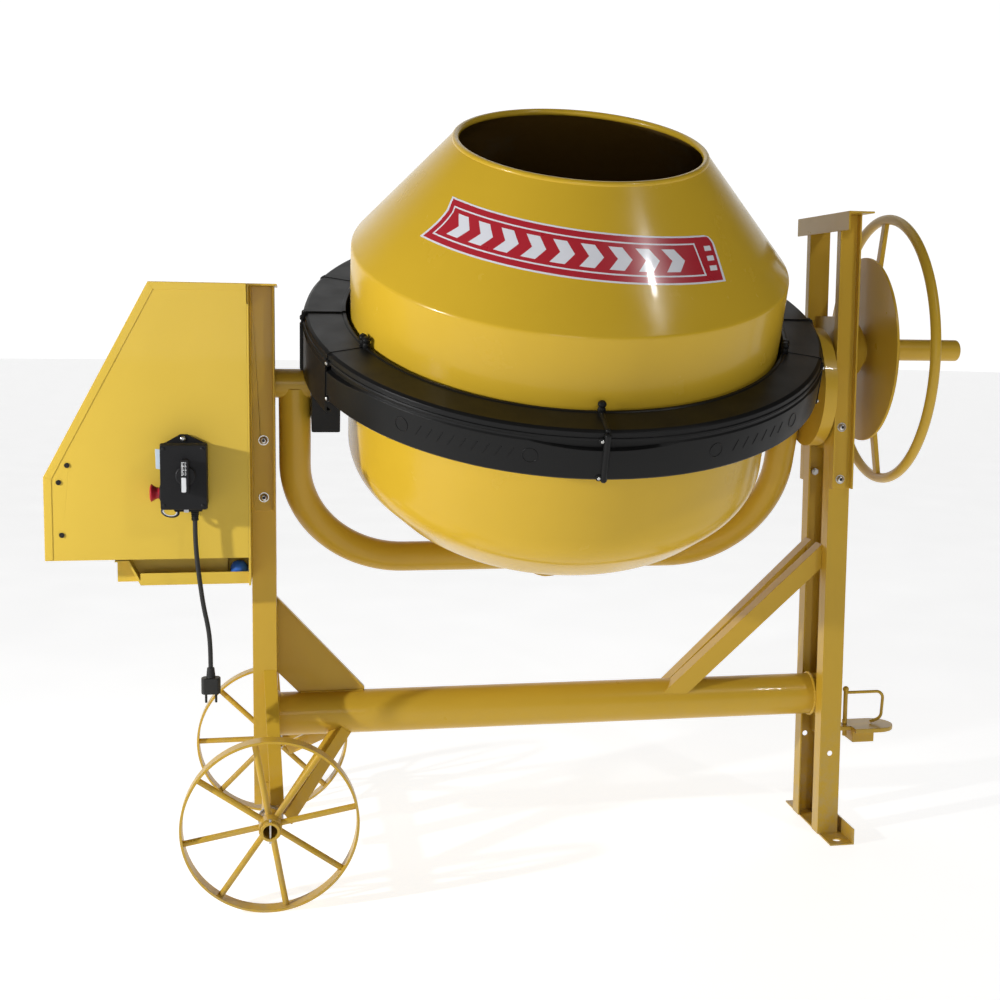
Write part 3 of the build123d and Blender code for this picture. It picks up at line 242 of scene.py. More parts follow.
def add_ring(name, radius, tube, at, around, section):
    """Torus about Z with its middle at a point."""
    deselect()
    bpy.ops.mesh.primitive_torus_add(
        major_radius=radius, minor_radius=tube, major_segments=around,
        minor_segments=section, location=at,
    )
    return smooth(settle(named(name)))


def modify(piece, kind, **settings):
    """Adds one modifier and applies it."""
    take(piece)
    modifier = piece.modifiers.new(kind.lower(), kind)
    for key, value in settings.items():
        setattr(modifier, key, value)
    bpy.ops.object.modifier_apply(modifier=modifier.name)
    return piece


def smooth(piece, degrees=38):
    take(piece)
    bpy.ops.object.shade_smooth_by_angle(angle=math.radians(degrees))
    return piece


def soften(piece, width, segments=2, degrees=34):
    """Rounds the sharp edges and shades the rest smooth."""
    modify(
        piece, "BEVEL", width=width, segments=segments, limit_method="ANGLE",
        angle_limit=math.radians(degrees), use_clamp_overlap=False, miter_outer="MITER_ARC",
    )
    smooth(piece)
    return modify(piece, "WEIGHTED_NORMAL", keep_sharp=True, weight=80)


def merged(name, *pieces):
    """Joins pieces into one."""
    take(pieces[0])
    for piece in pieces[1:]:
        piece.select_set(True)
    if len(pieces) > 1:
        bpy.ops.object.join()
    pieces[0].name = name
    return pieces[0]


def duplicate(piece, matrix):
    """A copy with its own mesh, moved by a matrix."""
    copy = piece.copy()
    copy.data = piece.data.copy()
    bpy.context.scene.collection.objects.link(copy)
    return settle(copy, matrix)


ARC_STEP = 7  # degrees between the points of an arc


def arc_points(corners):
    """Points along an outline from (x, y) or (x, y, radius) corners, each radius as an arc."""
    points = []
    for number, corner in enumerate(corners):
        ends = number in (0, len(corners) - 1)
        if ends or len(corner) == 2:
            points.append(Vector(corner[:2]))
            continue
        here = Vector(corner[:2])
        before = (Vector(corners[number - 1][:2]) - here).normalized()
        after = (Vector(corners[number + 1][:2]) - here).normalized()
        half = before.angle(after) / 2
        reach = corner[2] / math.tan(half)
        centre = here + (before + after).normalized() * corner[2] / math.sin(half)
        start = here + before * reach - centre
        sweep = math.pi - 2 * half
        side = 1 if start.cross(here + after * reach - centre) > 0 else -1
        steps = max(2, round(math.degrees(sweep) / ARC_STEP))
        for step in range(steps + 1):
            reached = start.copy()
            reached.rotate(Matrix.Rotation(side * sweep * step / steps, 2))
            points.append(centre + reached)
    return points


def drawn(name, points, closed=False):
    """Edges through points, from a circle with as many corners."""
    deselect()
    bpy.ops.mesh.primitive_circle_add(vertices=len(points), radius=mm(1))
    line = named(name)
    for vertex, point in zip(line.data.vertices, points):
        vertex.co = point
    if not closed:
        last = len(points) - 1
        pick(line, "EDGE", lambda edge: {v.index for v in edge.verts} == {0, last})
        bpy.ops.mesh.delete(type="EDGE")
        done()
    return line


def turned(name, corners, steps, start=0.0, arc=360.0, closed=False):
    """Surface of revolution about Z through (radius, height) points, in metres."""
    angle = math.radians(start)
    points = [(r * math.cos(angle), r * math.sin(angle), s) for r, s in corners]
    shell = drawn(name, points, closed)
    edit(shell, "VERT", everything=True)
    bpy.ops.mesh.spin(steps=steps, angle=math.radians(arc), center=(0, 0, 0), axis=(0, 0, -1))
    bpy.ops.mesh.select_all(action="SELECT")
    bpy.ops.mesh.remove_doubles(threshold=SAME_POINT)
    bpy.ops.mesh.normals_make_consistent(inside=False)
    done()
    return shell


def along(axis, at):
    """Matrix that turns a piece drawn about Z to an axis and moves it to a point."""
    turn = Vector((0, 0, 1)).rotation_difference(Vector(axis)).to_matrix().to_4x4()
    return Matrix.Translation(at) @ turn


def fitted(piece, body, material, slot, *stands_for):
    """Gives a piece its body and material, and hides what it stands for. The slot is not used."""
    if material is not None:
        piece.data.materials.clear()
        piece.data.materials.append(material)
    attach(piece, body)
    if stands_for:
        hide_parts(*stands_for)
    return piece


def whole_copy(node, name):
    """A copy of a CAD node with its triangles merged into whole faces."""
    piece = nodes[node].copy()
    piece.data = nodes[node].data.copy()
    piece.name = name
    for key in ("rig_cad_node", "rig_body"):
        del piece[key]
    piece.parent = None
    bpy.context.scene.collection.objects.link(piece)
    edit(piece, "VERT", everything=True)
    bpy.ops.mesh.remove_doubles(threshold=SAME_POINT)
    bpy.ops.mesh.dissolve_limited(angle_limit=math.radians(0.4))
    done()
    return piece


def dressed(node, material, slot, width=0.0, degrees=34):
    """A CAD node's shape with softened edges, in its own finish."""
    piece = whole_copy(node, f"{node}_finished")
    if piece.data.has_custom_normals:
        take(piece)
        bpy.ops.mesh.customdata_custom_splitnormals_clear()
    if width:
        soften(piece, width, degrees=degrees)
    else:
        smooth(piece, degrees)
    return fitted(piece, body_of_node[node], material, slot, node)


# Finishes


class Finish:
    """A material under construction: Principled shader, object coordinates and a bump chain."""

    def __init__(self, name, colour, roughness, **sockets):
        self.material = bpy.data.materials.new(name)
        self.material.use_nodes = True
        self.tree = self.material.node_tree
        self.shader = self.tree.nodes["Principled BSDF"]
        self.place = self.tree.nodes.new("ShaderNodeTexCoord").outputs["Object"]
        self.shader.inputs["Base Color"].default_value = (*colour, 1)
        self.shader.inputs["Roughness"].default_value = roughness
        for key, value in sockets.items():
            self.shader.inputs[key.replace("_", " ")].default_value = value
        self.height = None

    def noise(self, scale, detail=2.0, rough=0.5, stretch=(1, 1, 1)):
        """Noise over the piece, stretched along an axis where asked."""
        node = self.tree.nodes.new("ShaderNodeTexNoise")
        node.inputs["Scale"].default_value = scale
        node.inputs["Detail"].default_value = detail
        node.inputs["Roughness"].default_value = rough
        source = self.place
        if stretch != (1, 1, 1):
            mapping = self.tree.nodes.new("ShaderNodeMapping")
            mapping.inputs["Scale"].default_value = stretch
            self.tree.links.new(source, mapping.inputs["Vector"])
            source = mapping.outputs["Vector"]
        self.tree.links.new(source, node.inputs["Vector"])
        return node.outputs["Fac"]

    def span(self, value, start, end, low_out=0.0, high_out=1.0):
        """A value from start to end as a share between two others."""
        node = self.tree.nodes.new("ShaderNodeMapRange")
        node.inputs["From Min"].default_value = start
        node.inputs["From Max"].default_value = end
        node.inputs["To Min"].default_value = low_out
        node.inputs["To Max"].default_value = high_out
        self.tree.links.new(value, node.inputs["Value"])
        return node.outputs["Result"]

    def sum(self, operation, first, second):
        """Two values, or a value and a number, put together."""
        node = self.tree.nodes.new("ShaderNodeMath")
        node.operation = operation
        for socket, value in zip(node.inputs, (first, second)):
            if isinstance(value, (int, float)):
                socket.default_value = value
            else:
                self.tree.links.new(value, socket)
        return node.outputs[0]

    def tint(self, share, colour):
        """Mixes a colour over what is there, by a share."""
        node = self.tree.nodes.new("ShaderNodeMix")
        node.data_type = "RGBA"
        base = self.shader.inputs["Base Color"]
        if base.is_linked:
            self.tree.links.new(base.links[0].from_socket, node.inputs[6])
        else:
            node.inputs[6].default_value = base.default_value
        node.inputs[7].default_value = (*colour, 1)
        self.tree.links.new(share, node.inputs[0])
        self.tree.links.new(node.outputs[2], base)
        return self

    def rough(self, value):
        self.tree.links.new(value, self.shader.inputs["Roughness"])
        return self

    def bump(self, value, strength, distance):
        """Adds one layer of relief."""
        node = self.tree.nodes.new("ShaderNodeBump")
        node.inputs["Strength"].default_value = strength
        node.inputs["Distance"].default_value = distance
        self.tree.links.new(value, node.inputs["Height"])
        if self.height is not None:
            self.tree.links.new(self.height, node.inputs["Normal"])
        self.height = node.outputs[0]
        self.tree.links.new(self.height, self.shader.inputs["Normal"])
        return self

    def height_above(self):
        """Height over the ground."""
        node = self.tree.nodes.new("ShaderNodeSeparateXYZ")
        self.tree.links.new(self.place, node.inputs[0])
        return node.outputs["Z"]


def enamel(name, colour, gloss, coat, dust=0.0):
    """Sprayed ochre enamel: orange peel, faint cloudiness, small specks and road dust low down."""
    finish = Finish(
        name, colour, gloss, Specular_IOR_Level=0.22, Coat_Weight=coat, Coat_Roughness=0.05
    )
    pale = [min(1, channel * 1.07 + 0.004) for channel in colour]
    deep = [channel * 0.90 for channel in colour]
    cloud = finish.noise(2.6, 4, 0.6)
    finish.tint(finish.span(cloud, 0.50, 0.80, 0, 0.35), pale)
    finish.tint(finish.span(cloud, 0.50, 0.25, 0, 0.5), deep)
    specks = finish.noise(420, 1)
    finish.tint(finish.span(specks, 0.80, 0.84, 0, 0.45), [channel * 0.45 for channel in colour])
    if dust:
        grit = finish.noise(38, 6, 0.7)
        near = finish.span(finish.height_above(), 0.32, 0.0, 0, dust)
        share = finish.sum("MULTIPLY", near, finish.span(grit, 0.42, 0.62))
        finish.tint(share, (0.36, 0.32, 0.25))
    smear = finish.noise(9, 5, 0.6)
    finish.rough(finish.span(smear, 0.3, 0.7, gloss - 0.05, gloss + 0.07))
    finish.bump(finish.noise(46, 2, 0.4), 0.10, mm(0.8))
    finish.bump(finish.noise(520, 2, 0.5), 0.07, mm(0.25))
    return finish.material


def moulded(name, colour, gloss, grain=0.10, shine=0.3):
    """Moulded plastic with a fine spark-eroded grain and light scuffs."""
    finish = Finish(name, colour, gloss, Specular_IOR_Level=shine)
    scuff = finish.noise(60, 6, 0.75, (1, 1, 5))
    finish.tint(finish.span(scuff, 0.66, 0.80, 0, 0.35), [c * 2.2 + 0.01 for c in colour])
    finish.rough(finish.span(finish.noise(14, 4), 0.3, 0.7, gloss - 0.06, gloss + 0.08))
    finish.bump(finish.noise(900, 2, 0.6), grain, mm(0.15))
    finish.bump(finish.noise(24, 2), 0.06, mm(1))
    return finish.material


def metal(name, colour, gloss, streak=(1, 1, 1), stain=(0.2, 0.13, 0.08), stained=0.25):
    """Bare or plated metal with fine turning marks and dull patches."""
    finish = Finish(name, colour, gloss, Metallic=1.0)
    patch = finish.noise(55, 6, 0.65)
    finish.tint(finish.span(patch, 0.56, 0.78, 0, stained), stain)
    finish.rough(finish.span(patch, 0.3, 0.75, gloss - 0.05, gloss + 0.2))
    finish.bump(finish.noise(700, 3, 0.6, streak), 0.12, mm(0.2))
    return finish.material


def cast(name, colour, gloss):
    """Cast iron, sand-rough and greasy."""
    finish = Finish(name, colour, gloss, Metallic=0.6)
    grease = finish.noise(30, 5, 0.6)
    finish.tint(finish.span(grease, 0.5, 0.66, 0, 0.8), (0.012, 0.010, 0.008))
    finish.rough(finish.span(grease, 0.4, 0.65, gloss + 0.15, gloss - 0.1))
    finish.bump(finish.noise(330, 3, 0.7), 0.35, mm(0.5))
    return finish.material


def shaded_drum_inside():
    """Inside of the drum: enamel darkened as painted shade, with a thin cement haze."""
    # Dark base colour: painted shade for the inside of the drum, not the paint's own tone.
    finish = Finish("inside_of_drum_painted_shade", (0.165, 0.088, 0.012), 0.5)
    haze = finish.noise(7, 8, 0.7)
    finish.tint(finish.span(haze, 0.56, 0.8, 0, 0.5), (0.19, 0.17, 0.14))
    finish.tint(finish.span(finish.noise(60, 6, 0.8), 0.6, 0.75, 0, 0.5), (0.05, 0.03, 0.012))
    finish.rough(finish.span(haze, 0.3, 0.7, 0.38, 0.7))
    finish.bump(finish.noise(90, 5, 0.7), 0.25, mm(0.8))
    return finish.material


def printed(name, colour):
    """Glossy printed vinyl."""
    finish = Finish(name, colour, 0.30, Coat_Weight=0.5, Coat_Roughness=0.08)
    finish.tint(finish.span(finish.noise(30, 3), 0.55, 0.8, 0, 0.25), [c * 0.9 for c in colour])
    finish.rough(finish.span(finish.noise(18, 3), 0.3, 0.7, 0.26, 0.36))
    finish.bump(finish.noise(260, 2), 0.05, mm(0.2))
    return finish.material


frame_enamel = enamel("frame_enamel", (0.56, 0.350, 0.032), 0.32, 0.12, 0.35)
drum_enamel = enamel("drum_enamel", (0.60, 0.385, 0.028), 0.22, 0.12)
housing_enamel = enamel("housing_enamel", (0.62, 0.425, 0.050), 0.42, 0.1)
# Dark inside finish: painted shade for the drum's inside and its blades.
inside_shade_finish = shaded_drum_inside()
guard_plastic = moulded("guard_plastic", (0.009, 0.009, 0.009), 0.38, shine=0.16)
box_plastic = moulded("box_plastic", (0.007, 0.007, 0.008), 0.50, 0.2, 0.22)
grip_plastic = moulded("grip_plastic", (0.009, 0.009, 0.010), 0.46, 0.1, 0.22)
red_plastic = moulded("red_plastic", (0.42, 0.018, 0.030), 0.36)
blue_plastic = moulded("blue_plastic", (0.030, 0.13, 0.50), 0.38)
tag_plastic = moulded("tag_plastic", (0.56, 0.66, 0.76), 0.45)
label_print = moulded("label_print", (0.66, 0.67, 0.68), 0.5)
lead_rubber = moulded("lead_rubber", (0.020, 0.020, 0.019), 0.5, 0.2)
zinc_plate = metal("zinc_plate", (0.62, 0.62, 0.60), 0.26, stained=0.15)
bright_steel = metal("bright_steel", (0.50, 0.49, 0.47), 0.30, (8, 1, 1))
black_screw = metal("black_oxide", (0.035, 0.033, 0.032), 0.38)
gear_iron = cast("greased_iron", (0.11, 0.105, 0.10), 0.42)
motor_enamel = enamel("motor_enamel", (0.055, 0.085, 0.11), 0.4, 0.1)
decal_red = printed("decal_red", (0.42, 0.020, 0.032))
decal_white = printed("decal_white", (0.72, 0.73, 0.78))


def studio_floor():
    """Plain pale floor."""
    deselect()
    bpy.ops.mesh.primitive_circle_add(vertices=96, radius=30, fill_type="NGON")
    floor = named("studio_floor")
    finish = Finish("pale_floor", (0.5, 0.5, 0.5), 0.7, Emission_Strength=0.78)
    finish.shader.inputs["Emission Color"].default_value = (1, 1, 1, 1)
    finish.rough(finish.span(finish.noise(3, 3), 0.3, 0.7, 0.65, 0.8))
    floor.data.materials.append(finish.material)


# Lead

LEAD_D = mm(9)
LEAD_ROUTE = [
    (-139, -201, 753), (-139, -201, 722), (-136.5, -203, 678), (-131, -207.5, 632),
    (-125, -208.5, 585), (-116, -206, 540), (-113, -203, 500), (-113, -203, 462),
]


def lead():
    """Rubber lead that hangs from the switch box's gland down to its plug."""
    curve = bpy.data.curves.new("lead", "CURVE")
    curve.dimensions = "3D"
    curve.bevel_depth = LEAD_D / 2
    curve.bevel_resolution = 6
    curve.resolution_u = 16
    line = curve.splines.new("NURBS")
    line.points.add(len(LEAD_ROUTE) - 1)
    for point, (x, y, z) in zip(line.points, LEAD_ROUTE):
        point.co = (AXLE.x + mm(x), mm(y), mm(z), 1)
    line.order_u = 3
    line.use_endpoint_u = True
    piece = bpy.data.objects.new("lead", curve)
    bpy.context.scene.collection.objects.link(piece)
    curve.materials.append(lead_rubber)
    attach(piece, "frame")
    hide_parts("cord")
    return piece


camera()
lights()
studio_floor()
flex = lead()

# Steel and other parts that keep their CAD shape, with softened edges

PAINTED = {
    "left_legs": 1.2, "right_legs": 1.2, "head_channels": 1.2, "head_caps": 1.2,
    "bearing_plates": 1.0, "bearings": 1.0, "base_tube": 0.8, "column_gusset": 1.0,
    "tube_braces": 1.0, "foot_angle": 1.2, "axle_tube": 0.8, "axle_braces": 1.0,
    "hitch_tongue": 1.5, "front_wheel": 0.8, "rear_wheel": 0.8, "yoke_tube": 0,
    "yoke_pivot": 0.8, "tilt_ring_gear": 0, "handwheel_spokes": 1.0, "lock_disc": 1.0,
}
for node, width in PAINTED.items():
    dressed(node, frame_enamel, "yellow_paint", mm(width))
for node in ("housing_front", "housing_rear", "housing_wrap", "housing_backplate", "motor_tray"):
    dressed(node, housing_enamel, "housing_paint", mm(0.6))
OTHERS = {
    "handwheel_shaft": (frame_enamel, "yellow_paint", 0),
    # The blades take the inside finish, which paints the shade inside the drum.
    "drum_blades": (inside_shade_finish, "drum_paint", 1.2),
    "drum_shaft": (bright_steel, "bare_steel", 1.0),
    "drum_boss": (frame_enamel, "yellow_paint", 1.0),
    "guard_brackets": (frame_enamel, "yellow_paint", 0.8),
    "pinion_cover": (guard_plastic, "black_plastic", 2.0),
    "drum_gear": (gear_iron, "cast_iron", 0),
    "pinion": (gear_iron, "cast_iron", 0),
    "drive_shaft": (bright_steel, "bare_steel", 1.0),
    "drive_pulley": (gear_iron, "cast_iron", 0.8),
    "motor_pulley": (bright_steel, "bare_steel", 0.6),
    "drive_belt": (lead_rubber, "black_rubber", 1.0),
    "motor_body": (motor_enamel, "motor_paint", 2.5),
    "motor_fan_cowl": (motor_enamel, "motor_paint", 1.2),
    "tension_knob": (blue_plastic, "blue_plastic", 1.0),
    "plug": (lead_rubber, "black_rubber", 1.5),
    "tilt_pinion": (gear_iron, "cast_iron", 0),
    "hitch_pin": (frame_enamel, "yellow_paint", 0),
    "housing_screws": (black_screw, "black_screw", 0.5),
    "axle_pins": (bright_steel, "bare_steel", 0.5),
    "handwheel_rim": (frame_enamel, "yellow_paint", 0),
}
for node, (material, slot, width) in OTHERS.items():
    dressed(node, material, slot, mm(width))

# Drum, drawn about its own axis

CONE_FOOT = Vector(mm(450, 301))
CONE_TOP = Vector(mm(250.5, 531.5))
MOUTH = Vector(mm(250.5, 524.5))
BEAD_R = mm(7)
INNER_EDGE_S = mm(517)
DISH_EDGE_S = mm(-100)
FLANGE_BOLTS = 6
FLANGE_BOLT_R = 70
FLANGE_S = -330
DRUM_OUTLINE = [
    mm(25, -322), mm(200, -322, 150), mm(352, -268, 150), mm(450, -165, 110), mm(450, 301, 14),
    tuple(CONE_TOP),
]


def inset(corners, wall):
    """The same outline, a wall's thickness inside."""
    lines = []
    for start, end in zip(corners, corners[1:]):
        start, end = Vector(start[:2]), Vector(end[:2])
        run = (end - start).normalized()
        inward = Vector((-run.y, run.x))
        lines.append((start + inward * wall, run))
    points = [lines[0][0]]
    for (start, run), (other, way) in zip(lines, lines[1:]):
        points.append(start + run * (other - start).cross(way) / run.cross(way))
    last, run = lines[-1]
    points.append(last + run * (Vector(corners[-1][:2]) - Vector(corners[-2][:2])).length)
    radii = [corner[2] - wall if len(corner) > 2 else 0 for corner in corners]
    return [(*point, radius) if radius else tuple(point) for point, radius in zip(points, radii)]


def rolled_bead():
    """Points round the mouth's rolled edge, from the outside of the cone to its inside."""
    run = (CONE_TOP - CONE_FOOT).normalized()
    out = Vector((run.y, -run.x))
    lift = (CONE_TOP - MOUTH).dot(out)
    start = -math.acos(lift / BEAD_R)
    end = 2 * math.pi - math.acos((lift - DRUM_WALL) / BEAD_R)
    steps = 26
    turns = [start + (end - start) * step / steps for step in range(steps + 1)]
    return [MOUTH + BEAD_R * (math.cos(turn) * out + math.sin(turn) * run) for turn in turns]


def drum_shell():
    """Dished bottom, straight wall, cone and rolled mouth in one spun shell."""
    outside = arc_points(DRUM_OUTLINE)[:-1]
    inside = arc_points(inset(DRUM_OUTLINE, DRUM_WALL))[:-1]
    shell = turned("drum_shell", outside + rolled_bead() + inside[::-1], 192, closed=True)
    shell.data.materials.append(drum_enamel)
    shell.data.materials.append(inside_shade_finish)
    # Faces inside the wall and the dish take the dark inside finish, which is painted shade.
    for face in shell.data.polygons:
        out = Vector((face.center.x, face.center.y, 0)).normalized()
        inner_wall = face.normal.dot(out) < -0.2 and face.center.z < INNER_EDGE_S
        inner_dish = face.normal.z > 0.3 and face.center.z < DISH_EDGE_S
        face.material_index = 1 if inner_wall or inner_dish else 0
    smooth(settle(shell, YOKE), 25)
    fitted(shell, "drum", None, "drum_paint", "drum_upper", "drum_lower")


def hex_head(name, across, height):
    """Hexagon head standing on Z = 0."""
    deselect()
    bpy.ops.mesh.primitive_cylinder_add(
        vertices=6, radius=across / math.sqrt(3), depth=height, location=(0, 0, height / 2)
    )
    return soften(settle(named(name)), mm(0.9), 2, 50)


def drum_bolts():
    """Hexagon bolts that hold the drum's bottom on the shaft's flange."""
    heads = []
    for number in range(FLANGE_BOLTS):
        turn = 2 * math.pi * number / FLANGE_BOLTS
        across, along_y = FLANGE_BOLT_R * math.cos(turn), FLANGE_BOLT_R * math.sin(turn)
        place = Matrix.Translation(mm(across, along_y, FLANGE_S))
        head = hex_head("head", mm(17), mm(7))
        heads.append(settle(head, YOKE @ place @ Matrix.Rotation(math.pi, 4, "X")))
    fitted(merged("drum_flange_bolts", *heads), "drum", zinc_plate, "zinc_fastener")


# Banner on the cone: (along, across) in millimetres from its left end and its middle

BANNER_START = -151.5
BANNER_DEGREES_PER_MM = 99.5 / 600
BANNER_MIDDLE_S = 426.5
BANNER_DROOP = 0.0034
BANNER_CREST = -138
BANNER_HALF = 48
BASE_LIFT, FIELD_LIFT, MARK_LIFT = 0.30, 0.45, 0.60
TAIL_DEEPEST = 0.72
CORNER_R = 22
CHEVRONS = 9
CHEVRON_PITCH = 53


def on_cone(along_it, across, lift):
    """Place on the cone for a point of the banner, lifted off the paint."""
    azimuth = BANNER_START + along_it * BANNER_DEGREES_PER_MM
    slope = (CONE_TOP - CONE_FOOT).normalized()
    s = mm(BANNER_MIDDLE_S - BANNER_DROOP * (azimuth - BANNER_CREST) ** 2) + mm(across) * slope.y
    r = CONE_FOOT.x + (s - CONE_FOOT.y) * slope.x / slope.y + mm(lift) * slope.y
    turn = math.radians(azimuth)
    return Vector((r * math.cos(turn), r * math.sin(turn), s - mm(lift) * slope.x))


def left_edge(across):
    """The banner's left end: a shallow swallow tail, deepest above its middle."""
    share = (across + BANNER_HALF) / (2 * BANNER_HALF)
    rise = math.sin(min(1, share / TAIL_DEEPEST) * QUARTER)
    fall = max(0, share - TAIL_DEEPEST) / (1 - TAIL_DEEPEST)
    return -3 + 20 * rise - 9 * fall


def right_edge(across):
    """The banner's right end, with a rounded upper corner."""
    edge = 594 + 18 * (across + BANNER_HALF) / (2 * BANNER_HALF)
    above = max(0, across - BANNER_HALF + CORNER_R) / CORNER_R
    return edge - CORNER_R * (1 - math.sqrt(max(0, 1 - above * above)))


def sticker(left, right, low_edge, high_edge, lift):
    """Vinyl strip on the cone between two end curves and two heights."""
    wide = right(0) - left(0)
    columns = max(2, round(wide / 8))
    rows = max(2, round((high_edge - low_edge) / 3))
    deselect()
    bpy.ops.mesh.primitive_grid_add(x_subdivisions=columns, y_subdivisions=rows, size=2)
    patch = named("patch")
    for vertex in patch.data.vertices:
        across = low_edge + (vertex.co.y + 1) / 2 * (high_edge - low_edge)
        share = (vertex.co.x + 1) / 2
        along_it = left(across) + share * (right(across) - left(across))
        vertex.co = on_cone(along_it, across, lift)
    modify(patch, "SOLIDIFY", thickness=mm(0.2), offset=-1)
    return patch


def bar(left, right, low_edge, high_edge, lean):
    """Strip with straight, slanted ends."""
    def slide(across):
        return lean * (across - low_edge) / (high_edge - low_edge)
    return sticker(
        lambda across: left + slide(across), lambda across: right + slide(across),
        low_edge, high_edge, MARK_LIFT,
    )


def banner():
    """Red banner with a white border, an inner line and a row of plain chevrons."""
    def from_left(gap):
        return lambda across: left_edge(across) + gap

    white = [sticker(left_edge, right_edge, -BANNER_HALF, BANNER_HALF, BASE_LIFT)]
    def short_of_right(across):
        return right_edge(across) - 5.5

    red = [sticker(from_left(5.5), short_of_right, -44.5, 44.5, FIELD_LIFT)]
    marks = [
        sticker(from_left(17), from_left(20.5), -33, 33, MARK_LIFT),
        sticker(from_left(18), lambda across: 556, 30, 33, MARK_LIFT),
        sticker(from_left(18), lambda across: 556, -33, -30, MARK_LIFT),
        bar(552.5, 556, -33, 33, 0),
    ]
    for number in range(CHEVRONS):
        left = 52 + number * CHEVRON_PITCH
        marks.append(bar(left, left + 27, -23, -0.5, 17))
        marks.append(bar(left + 17, left + 44, -1, 22, -17))
    for number in range(3):
        height = -24 + number * 20
        marks.append(bar(569 + number * 3, 586 + number * 3, height, height + 10, 2))
    for name, patches, material in (
        ("banner_white_base", white, decal_white), ("banner_red_field", red, decal_red),
        ("banner_white_marks", marks, decal_white),
    ):
        fitted(smooth(settle(merged(name, *patches), YOKE), 20), "drum", material, "drum_paint")


# Gear guard: moulded sections round the drum

GUARD_OUTLINE = [
    (457.5, 147), (457.5, 163, 2.2), (464.5, 163, 2), (466.5, 161, 1.2), (534, 161, 2),
    (540.5, 157, 3), (541.5, 148, 1.2), (543.8, 147.2, 0.8), (544.8, 143.5, 0.8),
    (542.2, 140.5, 0.8), (542.2, 136.5, 0.8), (544.8, 133, 2), (544.8, 0, 4), (541, -4, 2),
    (532, -4),
]
GUARD_WALL = mm(3)
FRONT_JOINT = -91.5
GUARD_JOINTS = (-158, FRONT_JOINT, -22, 22, 90, 158)
MIDDLE_JOINTS = (FRONT_JOINT, 90)
JOINT_GAP = 0.06
GUARD_BOTTOM = 62
LEFT_BOTTOM = 32
GUARD_R = mm(545)
GUARD_FACE_R = mm(544.8)
MARK_HEIGHT = 104
CRESCENT_HALF = 15


def guard_outline(bottom, swell=0.0):
    """The section's corners for a bottom height, swollen outwards for a flange."""
    corners = []
    for r, s, *radius in GUARD_OUTLINE:
        if s <= 0:
            s = bottom + 4 + s
        push = swell if r > 500 else 0
        rise = swell / 2 if s > 140 else 0
        corners.append(mm(r + push, s + rise, *radius))
    return corners


def ring_facing_out(piece):
    """Turns the faces of a ring away from the axis if most look towards it."""
    balance = 0
    for face in piece.data.polygons:
        if abs(face.normal.z) < 0.5:
            balance += Vector((face.center.x, face.center.y, 0)).dot(face.normal) * face.area
    if balance < 0:
        edit(piece, everything=True)
        bpy.ops.mesh.flip_normals()
        done()
    return piece


def scalloped(piece, joint_azimuths):
    """Sinks the groove under the top ridge into a crescent that is deepest at each joint."""
    for vertex in piece.data.vertices:
        if not mm(130) < vertex.co.z < mm(141.5):
            continue
        azimuth = math.degrees(math.atan2(vertex.co.y, vertex.co.x))
        nearest = min(abs((azimuth - joint + 180) % 360 - 180) for joint in joint_azimuths)
        depth = max(0.0, 1 - (nearest / CRESCENT_HALF) ** 2)
        radius = Vector((vertex.co.x, vertex.co.y)).length
        if radius < mm(543.6):
            scale = (radius - mm(8) * depth) / radius
            vertex.co.x *= scale
            vertex.co.y *= scale
        if vertex.co.z < mm(138.5):
            vertex.co.z -= mm(11) * depth


def guard_section(start, end, bottom, scallops=()):
    """One moulding of the guard with a hairline gap at its ends."""
    arc = end - start
    piece = turned(
        "section", arc_points(guard_outline(bottom)), round(arc),
        start + JOINT_GAP, arc - 2 * JOINT_GAP,
    )
    ring_facing_out(piece)
    if scallops:
        scalloped(piece, scallops)
    modify(piece, "SOLIDIFY", thickness=GUARD_WALL, offset=-1, use_even_offset=True)
    return smooth(piece, 30)


def guard_flange(azimuth, bottom, swell, arc):
    """Raised flange round the outside of a joint."""
    piece = turned(
        "flange", arc_points(guard_outline(bottom, swell)), 2, azimuth - arc / 2, arc
    )
    ring_facing_out(piece)
    modify(piece, "SOLIDIFY", thickness=mm(2) + mm(swell), offset=-1, use_even_offset=True)
    return smooth(piece, 30)


def guard_place(azimuth, r, s):
    """Matrix of a place on the guard: X out from the axis, Y along the ring, Z along the axis."""
    turn = Matrix.Rotation(math.radians(azimuth), 4, "Z")
    return turn @ Matrix.Translation(mm(r, 0, s))


def capsule(name, radius, bottom, top):
    """Rod along Z with round ends."""
    rod = add_disc(name, radius, top - bottom, (0, 0, (top + bottom) / 2), sides=24)
    ends = []
    for height in (bottom, top):
        deselect()
        bpy.ops.mesh.primitive_uv_sphere_add(
            segments=24, ring_count=12, radius=radius, location=(0, 0, height)
        )
        ends.append(settle(named("end")))
    return smooth(merged(name, rod, *ends))


def clip_knob():
    """Ribbed clip with a round head that snaps two guard sections together."""
    outline = [
        mm(0, 23), mm(5, 22.4, 2), mm(8.2, 18, 3), mm(8.2, 14, 2), mm(5.6, 11, 1), mm(7.6, 8, 2),
        mm(7.6, 3, 2), mm(6.4, -4, 1), mm(0, -4),
    ]
    return smooth(turned("knob", arc_points(outline), 24), 40)


